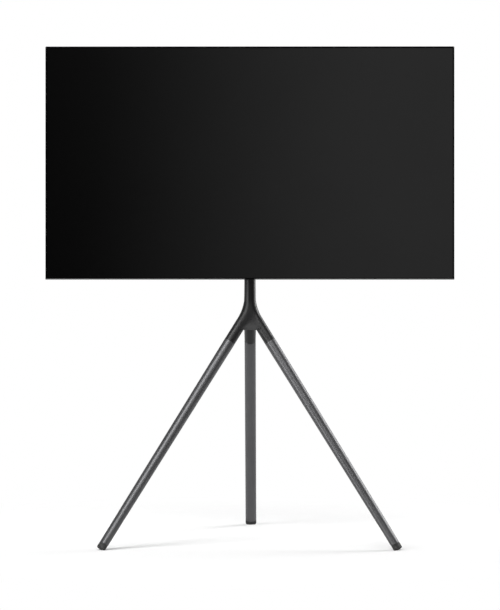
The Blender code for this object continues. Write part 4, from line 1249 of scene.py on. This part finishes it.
@dataclass
class Assembly:
    """A group of pieces on one body, with places counted from the pole's axis and the floor."""

    pole: Vector
    shop: Workshop
    body: ClassVar[Body] = Body.HEAD

    def build(self) -> None:
        """Makes the group's pieces; each group has its own."""
        raise NotImplementedError

    def add(self, name: str, shape: Shape, slot: Slot, *replaces: str) -> bpy.types.Object:
        """Makes a piece on the group's body; the CAD nodes that it stands for come last."""
        return self.shop.piece(name, shape, slot, self.body, replaces)

    def soften(
        self, name: str, node: str, slot: Slot, width: float, segments: int = BROKEN,
        finish: Finish | None = None,
    ) -> None:
        """Makes a piece that is one CAD node with its sharp edges rounded."""
        shape = Shape.of_node(node).soften(width, segments)
        self.shop.piece(name, shape, slot, self.body, [node], finish)

    def at(self, x: float, back: float, z: float, direction: Vector = UP) -> Matrix:
        """A place near the pole.

        Args:
            x: How far it is to the right of the pole's axis.
            back: How far it is behind the axis.
            z: Its height.
            direction: Where its Z axis points.

        Returns:
            The place.
        """
        place = Matrix.Translation((self.pole.x + x, self.pole.y + back, z))
        if direction == UP:
            return place
        return place @ direction.to_track_quat("Z", "Y").to_matrix().to_4x4()


def corners(half_width: float, low: float, high: float) -> Iterator[tuple[str, float, float]]:
    """Walks round a rectangle's corners.

    Args:
        half_width: Half its width.
        low: The height of its lower side.
        high: The height of its upper side.

    Yields:
        Each corner's name, its place across and its height.
    """
    for side, sign in SIDES.items():
        for level, z in (("low", low), ("high", high)):
            yield f"{side}_{level}", sign * half_width, z


@dataclass
class Leg(Assembly):
    """One leg tube with its rubber foot and grub screw, in its own frame: Z runs down its axis."""

    body = Body.STAND
    side: str
    azimuth: float
    tilt: float = math.radians(35.8)
    meet_height: float = 0.705
    half_width: float = 0.01725
    foot_half_depth: float = 0.0123
    wall: float = 0.002
    seam: float = 0.122
    gap: float = 0.0003
    edge: float = 0.0005
    foot_length: float = 0.016
    foot_flat: float = 0.0036
    foot_stem: float = 0.024
    foot_round: float = 0.003
    foot_facets: int = 8
    groove_down: float = 0.0035
    groove_width: float = 0.0012
    groove_depth: float = 0.0005
    screw_down: float = 0.018

    @property
    def end(self) -> float:
        """How far down its axis the leg ends."""
        drop = self.foot_half_depth * math.sin(self.tilt)
        return (self.meet_height - drop + self.foot_flat) / math.cos(self.tilt)

    @property
    def place(self) -> Matrix:
        """The leg's frame: X across it, Y up and out, Z down its axis from where the legs meet."""
        out = Vector((math.cos(self.azimuth), math.sin(self.azimuth), 0))
        down = out * math.sin(self.tilt) - UP * math.cos(self.tilt)
        upper = out * math.cos(self.tilt) + UP * math.sin(self.tilt)
        turn = Matrix((upper.cross(down), upper, down)).transposed().to_4x4()
        return self.at(0, 0, self.meet_height) @ turn

    def half_depth(self, down: float) -> float:
        """Half the leg's depth at a distance down its axis: round at the seam, oval at the foot."""
        share = (down - self.seam) / (self.end - self.seam)
        return self.half_width + (self.foot_half_depth - self.half_width) * share

    def drawn(self, profile: Sequence[Point], hollow: bool = False) -> Shape:
        """Turns a profile about the leg's axis and presses it to the leg's oval.

        Args:
            profile: Points as (radius, distance down the axis).
            hollow: True if the profile closes on itself.

        Returns:
            The shape. What lies inside the leg keeps its distance from the skin.
        """
        shape = Shape().turn(profile, ORIGIN, FINE, hollow)
        for vert in shape.bm.verts:
            inside = self.half_width - vert.co.xy.length
            if vert.co.xy.length > MERGE:
                vert.co.y *= (self.half_depth(vert.co.z) - inside) / vert.co.xy.length
        bmesh.ops.transform(shape.bm, matrix=self.place, verts=shape.bm.verts[:])
        return shape

    def tube(self) -> Shape:
        """The tube, with its edges broken at both ends.

        Returns:
            The tube's shape.
        """
        top = self.seam + self.gap
        bottom = self.end - self.foot_length
        outer, inner, edge = self.half_width, self.half_width - self.wall, self.edge
        profile = [
            (inner, top), (outer - edge, top), (outer, top + edge), (outer, bottom - edge),
            (outer - edge, bottom), (inner, bottom),
        ]
        return self.drawn(profile, hollow=True)

    def foot(self) -> Shape:
        """The rubber foot: a stem in the tube and a grooved, rounded cap, cut flat on the floor.

        Returns:
            The foot's shape.
        """
        outer, stem = self.half_width, self.half_width - self.wall - self.gap
        shoulder = self.end - self.foot_length + self.gap
        groove = shoulder + self.groove_down
        cap = [(outer, groove + self.groove_width), (outer, self.end), (0, self.end)]
        profile = [
            (0, shoulder - self.foot_stem), (stem, shoulder - self.foot_stem), (stem, shoulder),
            (outer - self.edge, shoulder), (outer, shoulder + self.edge), (outer, groove),
            (outer - self.groove_depth, groove + self.groove_width / 2),
            *rounded(cap, self.foot_round, self.foot_facets),
        ]
        shape = self.drawn(profile)
        every = shape.bm.verts[:] + shape.bm.edges[:] + shape.bm.faces[:]
        cut = bmesh.ops.bisect_plane(
            shape.bm, geom=every, plane_co=(0, 0, 0), plane_no=UP, clear_inner=True
        )
        rim = [item for item in cut["geom_cut"] if isinstance(item, bmesh.types.BMEdge)]
        bmesh.ops.holes_fill(shape.bm, edges=rim)
        bmesh.ops.recalc_face_normals(shape.bm, faces=shape.bm.faces[:])
        return shape

    def grub_screw(self) -> Shape:
        """The grub screw that holds the tube from below, just under its skin.

        Returns:
            The screw's shape.
        """
        down = self.seam + self.screw_down
        head = GRUB.head_height + self.edge - self.half_depth(down)
        inward = Matrix.Rotation(-math.pi / 2, 4, "X")
        return GRUB.alone(self.place @ Matrix.Translation((0, head, down)) @ inward)

    def build(self) -> None:
        """Makes the leg's pieces."""
        side = self.side
        self.add(f"tube_{side}", self.tube(), Slot.TUBE, f"leg_tube_{side}")
        self.add(f"foot_{side}", self.foot(), Slot.RUBBER, f"foot_cap_{side}")
        self.add(f"grub_{side}", self.grub_screw(), Slot.SCREW, f"leg_screw_{side}")


@dataclass
class Tripod(Assembly):
    """The hub casting and its three legs."""

    body = Body.STAND
    crease_angle: float = math.radians(40)
    join_angle: float = math.radians(25)
    levels: int = 2

    def hub(self) -> Shape:
        """The hub: the CAD casting with its facets joined into a cage for a smooth surface.

        Returns:
            The cage.
        """
        shape = Shape.of_node("hub_casting")
        bmesh.ops.join_triangles(
            shape.bm, faces=shape.bm.faces[:], angle_face_threshold=self.join_angle,
            angle_shape_threshold=math.pi,
        )
        crease = shape.bm.edges.layers.float.new("crease_edge")
        for edge in shape.sharp_edges(self.crease_angle):
            edge[crease] = 1.0
        return shape

    def build(self) -> None:
        """Makes the hub and the legs."""
        hub = self.add("hub", self.hub(), Slot.CAST, "hub_casting")
        smooth = hub.modifiers.new("smooth", "SUBSURF")
        smooth.levels = self.levels
        smooth.render_levels = self.levels
        azimuths = {"rear": 90, "front_left": 210, "front_right": 330}
        for side, azimuth in azimuths.items():
            Leg(self.pole, self.shop, side, math.radians(azimuth)).build()


@dataclass
class Pole(Assembly):
    """The pole above the hub, with its cap, its stop ring and its grub screws."""

    body = Body.STAND
    edge: float = 0.0004
    washer_edge: float = 0.0003
    cap_radius: float = 0.02345
    cap_bottom: float = 1.1607
    cap_top: float = 1.1637
    cap_dome: float = 0.0009
    cap_stem_radius: float = 0.0144
    cap_stem_bottom: float = 1.1457
    cap_lead: float = 0.001
    cap_lead_rise: float = 0.002
    cap_ring: float = 0.0185
    cap_ring_half: float = 0.0012
    cap_ring_depth: float = 0.0005
    cap_ring_rise: float = 0.0004
    cap_crown_drop: float = 0.0001
    grub_height: float = 0.829
    grub_depth: float = 0.01685
    stop_grub_height: float = 1.0309
    stop_grub_depth: float = 0.02305
    stop_grub: Screw = Screw(0.0025, 0.0032, 0.0025, 0.0022, Drive.HEX, 0.5, 0.9, 0.0002)

    def cap(self) -> Shape:
        """The cap: a plain stem in the pole and a low domed disc with a moulded ring.

        Returns:
            The cap's shape.
        """
        rim = self.cap_top - self.cap_dome
        ring, half, lip = self.cap_ring, self.cap_ring_half, rim + self.cap_ring_rise
        stem, foot = self.cap_stem_radius, self.cap_stem_bottom
        profile = [
            (0, foot), (stem - self.cap_lead, foot), (stem, foot + self.cap_lead_rise),
            (stem, self.cap_bottom), (self.cap_radius, self.cap_bottom), (self.cap_radius, rim),
            (ring + half, lip), (ring, lip - self.cap_ring_depth),
            (ring - half, lip + self.cap_crown_drop), (ring / 2, self.cap_top - self.cap_crown_drop),
            (0, self.cap_top),
        ]
        return Shape().turn(rounded(profile, self.edge, ROUND), self.at(0, 0, 0))

    def back_screw(self, screw: Screw, height: float, depth: float) -> Shape:
        """A grub screw that is turned in from behind, with its outer end at a depth."""
        return screw.alone(self.at(0, depth - screw.head_height, height, FORWARD))

    def build(self) -> None:
        """Makes the pole's pieces."""
        self.soften("pole", "pole_tube", Slot.TUBE, self.edge)
        self.add("end_cap", self.cap(), Slot.PLASTIC, "pole_cap")
        self.soften("stop_ring", "stop_collar", Slot.STEEL, self.edge)
        self.soften("slip_washer", "thrust_washer", Slot.NYLON, self.washer_edge)
        low = self.back_screw(GRUB, self.grub_height, self.grub_depth)
        self.add("pole_grub", low, Slot.SCREW, "pole_screw")
        high = self.back_screw(self.stop_grub, self.stop_grub_height, self.stop_grub_depth)
        self.add("stop_grub", high, Slot.SCREW, "stop_collar_screw")


@dataclass
class SwivelHead(Assembly):
    """What turns on the pole: the sleeve on its bushes, the bracket, the plate and the two arms."""

    height: float = 1.10
    edge: float = 0.0006
    bush_edge: float = 0.0003
    bracket_edge: float = 0.0012
    bolt_x: float = 0.022
    bolt_under_head: float = -0.03605
    bolt: HexBolt = HexBolt(0.004, 0.014, 0.007, 0.0035)
    weld: Weld = Weld(0.078)
    weld_x: float = 0.0217
    weld_back: float = -0.0111
    arm_x: float = 0.2
    arm_weld: Weld = Weld(0.026, 0.0018, 0.0020)
    arm_weld_rise: float = 0.0608
    arm_weld_back: float = -0.0352

    def welds(self) -> Shape:
        """The beads that join the sleeve to the bracket, and the arms to the plate.

        Returns:
            The beads in one shape.
        """
        shape = Shape()
        low = self.height - self.weld.length / 2
        for sign in SIDES.values():
            self.weld.build(shape, self.at(sign * self.weld_x, self.weld_back, low))
            start = sign * self.arm_x - self.arm_weld.length / 2
            for rise in (-self.arm_weld_rise, self.arm_weld_rise):
                place = self.at(start, self.arm_weld_back, self.height + rise, RIGHT)
                self.arm_weld.build(shape, place)
        return shape

    def build(self) -> None:
        """Makes the head's pieces."""
        self.soften("sleeve", "swivel_sleeve", Slot.STEEL, self.edge)
        for level in ("lower", "upper"):
            self.soften(f"bush_{level}", f"{level}_bush", Slot.NYLON, self.bush_edge)
        self.soften("bracket", "head_bracket", Slot.STEEL, self.bracket_edge, ROUND)
        self.soften("plate", "mount_plate", Slot.STEEL, self.edge, ROUND)
        for side, sign in SIDES.items():
            self.soften(f"rail_{side}", f"arm_{side}", Slot.STEEL, self.edge, ROUND)
            place = self.at(sign * self.bolt_x, self.bolt_under_head, self.height, BACKWARD)
            bolt = self.bolt.alone(place)
            self.add(f"bolt_{side}", bolt, Slot.ZINC, f"plate_bolt_{side}")
        self.add("welds", self.welds(), Slot.STEEL)


@dataclass
class Mounting(Assembly):
    """The four screws and spacers that hold the television on the arms."""

    half_width: float = 0.2
    low: float = 1.0
    high: float = 1.2
    under_head: float = -0.03575
    spacer_back: float = -0.03935
    spacer_length: float = 0.0105
    spacer_radius: float = 0.0074
    spacer_bore: float = 0.0034
    spacer_edge: float = 0.0006
    spacer_waist: float = 0.0007
    screw: Screw = Screw(0.003, 0.0264, 0.00525, 0.0035, Drive.HEX, 0.55, 0.6)

    def spacer(self, x: float, z: float) -> Shape:
        """A plastic spacer with broken edges and a slight waist.

        Args:
            x: Where it stands across the television.
            z: Its height.

        Returns:
            The spacer's shape.
        """
        bore, outer, edge = self.spacer_bore, self.spacer_radius, self.spacer_edge
        waist = outer - self.spacer_waist
        half = [(bore, 0), (outer - edge, 0), (outer, edge), (outer, edge * 3), (waist, edge * 4)]
        other = [(radius, self.spacer_length - height) for radius, height in reversed(half)]
        return Shape().turn(half + other, self.at(x, self.spacer_back, z, FORWARD), SMALL, hollow=True)

    def build(self) -> None:
        """Makes the screws and spacers."""
        for where, x, z in corners(self.half_width, self.low, self.high):
            spacer = self.spacer(x, z)
            self.add(f"spacer_{where}", spacer, Slot.PLASTIC, f"mount_spacer_{where}")
            screw = self.screw.alone(self.at(x, self.under_head, z, FORWARD))
            self.add(f"screw_{where}", screw, Slot.SCREW, f"mount_screw_{where}")


@dataclass
class Television(Assembly):
    """The screen in its thin frame, the covers behind it and their screws."""

    screen_edge: float = 0.0003
    frame_edge: float = 0.0005
    cover_edge: float = 0.0006
    rear_edge: float = 0.0003
    rib_count: int = 9
    rib_pitch: float = 0.018
    rib_bottom: float = 1.316
    rib_length: float = 1.0
    rib_width: float = 0.006
    rib_height: float = 0.0011
    rib_sunk: float = 0.00055
    rib_edge: float = 0.00099
    rear_face: float = -0.08392
    screw_under_head: float = -0.08362
    corner_x: float = 0.6045
    corner_low: float = 0.8045
    corner_high: float = 1.4855
    edge_screws: int = 5
    side_screws: int = 2
    screw: Screw = Screw(0.0015, 0.0040, 0.0026, 0.0014, Drive.CROSS, 0.62, 0.7, 0.0005)

    def rear(self) -> Shape:
        """The rear cover with the level stiffening ribs on its upper part.

        Returns:
            The cover's shape.
        """
        shape = Shape.of_node("rear_cover").soften(self.rear_edge)
        size = (self.rib_length, self.rib_width, self.rib_sunk + self.rib_height)
        for index in range(self.rib_count):
            z = self.rib_bottom + index * self.rib_pitch
            place = self.at(0, self.rear_face - self.rib_sunk, z, BACKWARD)
            shape.block(place, size, self.rib_edge, ROUND)
        return shape

    def screws(self, *places: Point) -> Shape:
        """Cover screws at some places, each across and up."""
        return self.screw.alone(*(self.at(x, self.screw_under_head, z, FORWARD) for x, z in places))

    def perimeter(self) -> Shape:
        """The smaller screws between the corners, round the edge of the covers.

        Returns:
            The screws in one shape.
        """
        places = []
        for index in range(1, self.edge_screws + 1):
            x = -self.corner_x + 2 * self.corner_x * index / (self.edge_screws + 1)
            places.append((x, self.corner_high))
        for index in range(1, self.side_screws + 1):
            z = self.corner_low + (self.corner_high - self.corner_low) * index / (self.side_screws + 1)
            places += [(-self.corner_x, z), (self.corner_x, z)]
        return self.screws(*places)

    def build(self) -> None:
        """Makes the television's pieces."""
        self.soften("screen", "screen_panel", Slot.SCREEN, self.screen_edge)
        upright_grain = self.shop.finishes[Slot.EDGE].along(Axis.Z)
        for side in ("bottom", "top", "left", "right"):
            finish = upright_grain if side in SIDES else None
            name, node = f"bezel_{side}", f"frame_{side}"
            self.soften(name, node, Slot.EDGE, self.frame_edge, finish=finish)
        self.add("rear_panel", self.rear(), Slot.PLASTIC, "rear_cover")
        self.soften("housing", "electronics_cover", Slot.PLASTIC, self.cover_edge)
        for where, x, z in corners(self.corner_x, self.corner_low, self.corner_high):
            screw = self.screws((x, z))
            self.add(f"corner_screw_{where}", screw, Slot.SCREW, f"cover_screw_{where}")
        self.add("edge_screws", self.perimeter(), Slot.SCREW)


@dataclass
class Terminals(Assembly):
    """The recessed sockets, the mains inlet, the remote sensor and the power key."""

    tray_edge: float = 0.0005
    socket_edge: float = 0.0002
    socket_x: float = 0.19
    socket_count: int = 3
    socket_pitch: float = 0.03
    socket_height: float = 0.9275
    tongue_size: Triple = (0.0098, 0.0010, 0.0070)
    tongue_back: float = -0.06442
    tongue_edge: float = 0.00025
    inlet_x: float = -0.17
    inlet_edge: float = 0.0004
    pin_spacing: float = 0.0086
    pin_radius: float = 0.0013
    pin_round: float = 0.00104
    pin_facets: int = 6
    pin_front: float = -0.06387
    pin_length: float = 0.0098
    sensor_edge: float = 0.0004
    key_back: float = -0.06765
    key_bottom: float = 0.8107
    key_radius: float = 0.005
    key_flange_radius: float = 0.0065
    key_flange_bottom: float = 0.8180
    key_flange_top: float = 0.8192
    key_stem_radius: float = 0.0025
    key_top: float = 0.8240
    key_dish: tuple[Point, ...] = ((0, 0.0004), (0.0025, 0.00028), (0.004, 0))
    key_edge: float = 0.0004

    def tongues(self) -> Shape:
        """The contact tongue in each socket's mouth.

        Returns:
            The tongues in one shape.
        """
        shape = Shape()
        for index in range(self.socket_count):
            x = self.socket_x + (index - (self.socket_count - 1) / 2) * self.socket_pitch
            place = self.at(x, self.tongue_back, self.socket_height, FORWARD)
            shape.block(place, self.tongue_size, self.tongue_edge)
        return shape

    def pins(self) -> Shape:
        """The inlet's two pins, rounded at their ends.

        Returns:
            The pins in one shape.
        """
        shape = Shape()
        radius, length = self.pin_radius, self.pin_length
        profile = [(0, 0), (radius, 0), (radius, length), (0, length)]
        profile = rounded(profile, self.pin_round, self.pin_facets)
        for sign in SIDES.values():
            x = self.inlet_x + sign * self.pin_spacing / 2
            shape.turn(profile, self.at(x, self.pin_front, self.socket_height, BACKWARD), SMALL)
        return shape

    def key(self) -> Shape:
        """The power key: a dished round face on a flange and a stem.

        Returns:
            The key's shape.
        """
        flange, stem = self.key_flange_radius, self.key_stem_radius
        profile = [
            *((radius, self.key_bottom + rise) for radius, rise in self.key_dish),
            (self.key_radius, self.key_bottom), (self.key_radius, self.key_flange_bottom),
            (flange, self.key_flange_bottom), (flange, self.key_flange_top),
            (stem, self.key_flange_top), (stem, self.key_top), (0, self.key_top),
        ]
        return Shape().turn(rounded(profile, self.key_edge, ROUND), self.at(0, self.key_back, 0))

    def build(self) -> None:
        """Makes the pieces."""
        self.soften("tray", "terminal_tray", Slot.PLASTIC, self.tray_edge)
        self.soften("sockets", "socket_block", Slot.SOCKET, self.socket_edge)
        self.add("tongues", self.tongues(), Slot.PLASTIC)
        self.soften("inlet", "power_inlet", Slot.PLASTIC, self.inlet_edge)
        self.add("inlet_pins", self.pins(), Slot.SOCKET)
        self.soften("sensor_lens", "remote_sensor", Slot.SENSOR, self.sensor_edge)
        self.shop.piece("key_cap", self.key(), Slot.PLASTIC, Body.KEY, ["power_key"])


@dataclass
class Electronics(Assembly):
    """What the housing hides: the boards and what stands on them, the speakers and the lamps."""

    edge: float = 0.0003
    board_rear: float = -0.07782
    chip_height: float = 0.0014
    chip_edge: float = 0.0003
    chips: tuple[tuple[float, float, float, float], ...] = (
        (0.128, 0.966, 0.012, 0.010), (0.146, 0.966, 0.012, 0.010), (0.176, 0.966, 0.009, 0.009),
        (0.205, 0.960, 0.014, 0.014), (0.268, 0.962, 0.010, 0.006), (0.268, 0.946, 0.010, 0.006),
        (-0.060, 0.962, 0.008, 0.006), (-0.060, 0.946, 0.008, 0.006), (-0.215, 0.966, 0.010, 0.007),
    )
    plugs: tuple[tuple[float, float, float, float], ...] = (
        (0.075, 0.880, 0.030, 0.007), (0.120, 0.880, 0.020, 0.007), (0.300, 0.880, 0.034, 0.008),
        (-0.070, 0.880, 0.040, 0.009), (-0.290, 0.880, 0.024, 0.008),
    )
    plug_height: float = 0.006
    metal: tuple[tuple[float, float, Detail], ...] = (
        (0.088, 0.932, HeatSink(0.046, 0.046)),
        (-0.228, 0.915, HeatSink(0.030, 0.050, fins=6)),
        (-0.128, 0.962, HeatSink(0.040, 0.020, fins=8)),
        (0.298, 0.965, Can(0.0040, 0.009)), (0.312, 0.965, Can(0.0040, 0.009)),
        (0.298, 0.950, Can(0.0032, 0.008)), (0.312, 0.950, Can(0.0032, 0.008)),
        (-0.300, 0.955, Can(0.0090, 0.018)), (-0.276, 0.955, Can(0.0090, 0.018)),
        (-0.300, 0.925, Can(0.0060, 0.014)), (-0.282, 0.925, Can(0.0060, 0.014)),
    )
    core: tuple[float, float, float, float] = (-0.108, 0.918, 0.036, 0.032)
    core_depth: float = 0.015
    winding: Can = Can(0.0135, 0.0165, 0.001, 0.5)
    speaker_x: float = 0.24
    speaker_bottom: float = 0.8197
    speaker_back: float = -0.06762
    driver_radius: float = 0.0095
    driver_stretch: float = 3.4
    driver_proud: float = 0.0006
    driver_shares: tuple[Point, ...] = (
        (0, 0.2), (0.28, 0), (0.34, -3), (0.74, -0.6), (0.80, 0.5), (0.86, 1), (0.92, 0.5),
        (0.94, 0.8), (1, 0.8), (1, -5), (0, -5),
    )
    lamp_rows: int = 6
    lamp_columns: int = 10
    lamp_half_width: float = 0.52
    lamp_low: float = 0.8554
    lamp_high: float = 1.4346
    lamp_face: float = -0.08812
    lamp_radius: float = 0.005
    lamp_height: float = 0.0016
    lamp_shares: tuple[Point, ...] = (
        (0, 0.75), (0.25, 0.92), (0.45, 1), (0.75, 0.8), (0.95, 0.35), (1, 0), (0, 0),
    )

    def blocks(self, places: Iterable[tuple[float, float, float, float]], height: float) -> Shape:
        """Low blocks with broken edges that stand on the boards.

        Args:
            places: For each, its middle as (x, z), its width and its height up the board.
            height: How far they stand out.

        Returns:
            The blocks in one shape.
        """
        shape = Shape()
        for x, z, width, tall in places:
            place = self.at(x, self.board_rear, z, BACKWARD)
            shape.block(place, (width, tall, height), self.chip_edge)
        return shape

    def metalwork(self) -> Shape:
        """The heat sinks and the capacitors' cans.

        Returns:
            All of them in one shape.
        """
        shape = Shape()
        for x, z, item in self.metal:
            item.build(shape, self.at(x, self.board_rear, z, BACKWARD))
        return shape

    def transformer(self) -> Shape:
        """The transformer: a block of core with its winding through it.

        Returns:
            The transformer's shape.
        """
        shape = self.blocks([self.core], self.core_depth)
        self.winding.build(shape, self.at(self.core[0], self.board_rear, self.core[1], BACKWARD))
        return shape

    def driver(self, sign: int) -> Shape:
        """A speaker's oval driver under its box: a rolled surround, a cone and a dust cap.

        Args:
            sign: -1 for the left speaker, 1 for the right one.

        Returns:
            The driver's shape.
        """
        radius, proud = self.driver_radius, self.driver_proud
        profile = [(radius * out, proud * up) for out, up in self.driver_shares]
        stretch = Matrix.Diagonal((self.driver_stretch, 1, 1, 1))
        down = Matrix.Rotation(math.pi, 4, "X")
        place = self.at(sign * self.speaker_x, self.speaker_back, self.speaker_bottom)
        return Shape().turn(profile, place @ stretch @ down)

    def lamps(self) -> Shape:
        """The domed lenses on the lamp strips, each with a dimple over its lamp.

        Returns:
            The lenses in one shape.
        """
        radius, height = self.lamp_radius, self.lamp_height
        profile = [(radius * out, height * up) for out, up in self.lamp_shares]
        across = 2 * self.lamp_half_width / (self.lamp_columns - 1)
        upwards = (self.lamp_high - self.lamp_low) / (self.lamp_rows - 1)
        first = self.at(-self.lamp_half_width, self.lamp_face, self.lamp_low, FORWARD)
        shape = Shape().turn(profile, first, SMALL)
        shape.repeat((column * across, 0, 0) for column in range(1, self.lamp_columns))
        return shape.repeat((0, 0, row * upwards) for row in range(1, self.lamp_rows))

    def build(self) -> None:
        """Makes the pieces inside the housing."""
        softened = {
            "main_board": ("circuit_main", Slot.BOARD),
            "power_board": ("circuit_power", Slot.BOARD),
            "led_board": ("lamp_strips", Slot.WHITE),
            "diffuser_plate": ("diffuser", Slot.WHITE),
            "key_switch": ("switch_block", Slot.PLASTIC),
            "speaker_left": ("speaker_box_left", Slot.PLASTIC),
            "speaker_right": ("speaker_box_right", Slot.PLASTIC),
        }
        for node, (name, slot) in softened.items():
            self.soften(name, node, slot, self.edge)
        self.add("chips", self.blocks(self.chips, self.chip_height), Slot.PLASTIC)
        self.add("plugs", self.blocks(self.plugs, self.plug_height), Slot.NYLON)
        self.add("metalwork", self.metalwork(), Slot.SOCKET)
        self.add("transformer", self.transformer(), Slot.PLASTIC)
        for side, sign in SIDES.items():
            self.add(f"driver_{side}", self.driver(sign), Slot.RUBBER)
        self.add("lenses", self.lamps(), Slot.WHITE)


def finishes() -> dict[Slot, Finish]:
    """The finish of each of the record's slots.

    Returns:
        The finishes, by slot.
    """
    low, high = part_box("screen_panel")
    return {
        Slot.CAST: CoatedMetal(
            (0.007, 0.007, 0.0074), 0.38, ripple=0.0016, grain=0.0008, specular=0.31
        ),
        Slot.TUBE: CoatedMetal(
            (0.082, 0.082, 0.085), 0.40, 0.75, ripple_depth=0.000006, mottle=0.05, rub_sheen=0.012
        ),
        Slot.RUBBER: Rubber((0.012, 0.012, 0.012), 0.72),
        Slot.STEEL: CoatedMetal((0.040, 0.040, 0.043), 0.45, 0.35, ripple=0.0014, ripple_depth=0.00005),
        Slot.ZINC: BrushedMetal((0.55, 0.55, 0.56), 0.34, 1.0, axis=Axis.Z, tint=(0.98, 0.93, 0.82)),
        Slot.SCREW: BrushedMetal((0.030, 0.030, 0.033), 0.40, 0.85, axis=Axis.Z, tint=(0.9, 0.95, 1.1)),
        Slot.NYLON: PlainPlastic((0.70, 0.69, 0.66), 0.50),
        Slot.PLASTIC: MouldedPlastic((0.018, 0.018, 0.019), 0.52),
        Slot.EDGE: BrushedMetal((0.002, 0.002, 0.0022), 0.45, specular=0.08),
        Slot.SCREEN: ScreenGlass((0.0003, 0.0003, 0.0003), 0.5, low=tuple(low), high=tuple(high)),
        Slot.WHITE: PlainPlastic((0.82, 0.82, 0.80), 0.60),
        Slot.SHEET: SpangledSheet((0.56, 0.57, 0.58), 0.38, 1.0),
        Slot.BOARD: CircuitBoard((0.018, 0.11, 0.045), 0.42),
        Slot.SOCKET: BrushedMetal((0.62, 0.62, 0.63), 0.28, 1.0),
        Slot.SENSOR: PlainPlastic((0.020, 0.004, 0.004), 0.14),
    }


def carried_over() -> dict[str, Slot]:
    """The CAD nodes that no piece stands for, with the slots that the record gives them.

    Returns:
        The slots, by node.
    """
    stood_for = {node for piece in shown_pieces() for node in piece.get("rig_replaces", [])}
    return {
        row["node"]: Slot(row["material_slot"])
        for row in frame["record"]["subparts"]
        if row["node"] not in stood_for
    }


def main() -> None:
    """Builds the studio and the sub-assemblies from the floor up."""
    logging.basicConfig(level=logging.INFO, format="%(name)s: %(message)s")
    swivel = next(joint for joint in frame["joints"] if joint["name"] == "head_swivel")
    pole = Vector(swivel["pos_m"])
    shop = Workshop(finishes())
    Studio().build(pole)
    for assembly in (Tripod, Pole, SwivelHead, Mounting, Television, Terminals, Electronics):
        assembly(pole, shop).build()
    for node, slot in carried_over().items():
        shop.dress(node, slot)
    bpy.context.scene.view_settings.view_transform = "Standard"


if __name__ == "__main__":
    main()
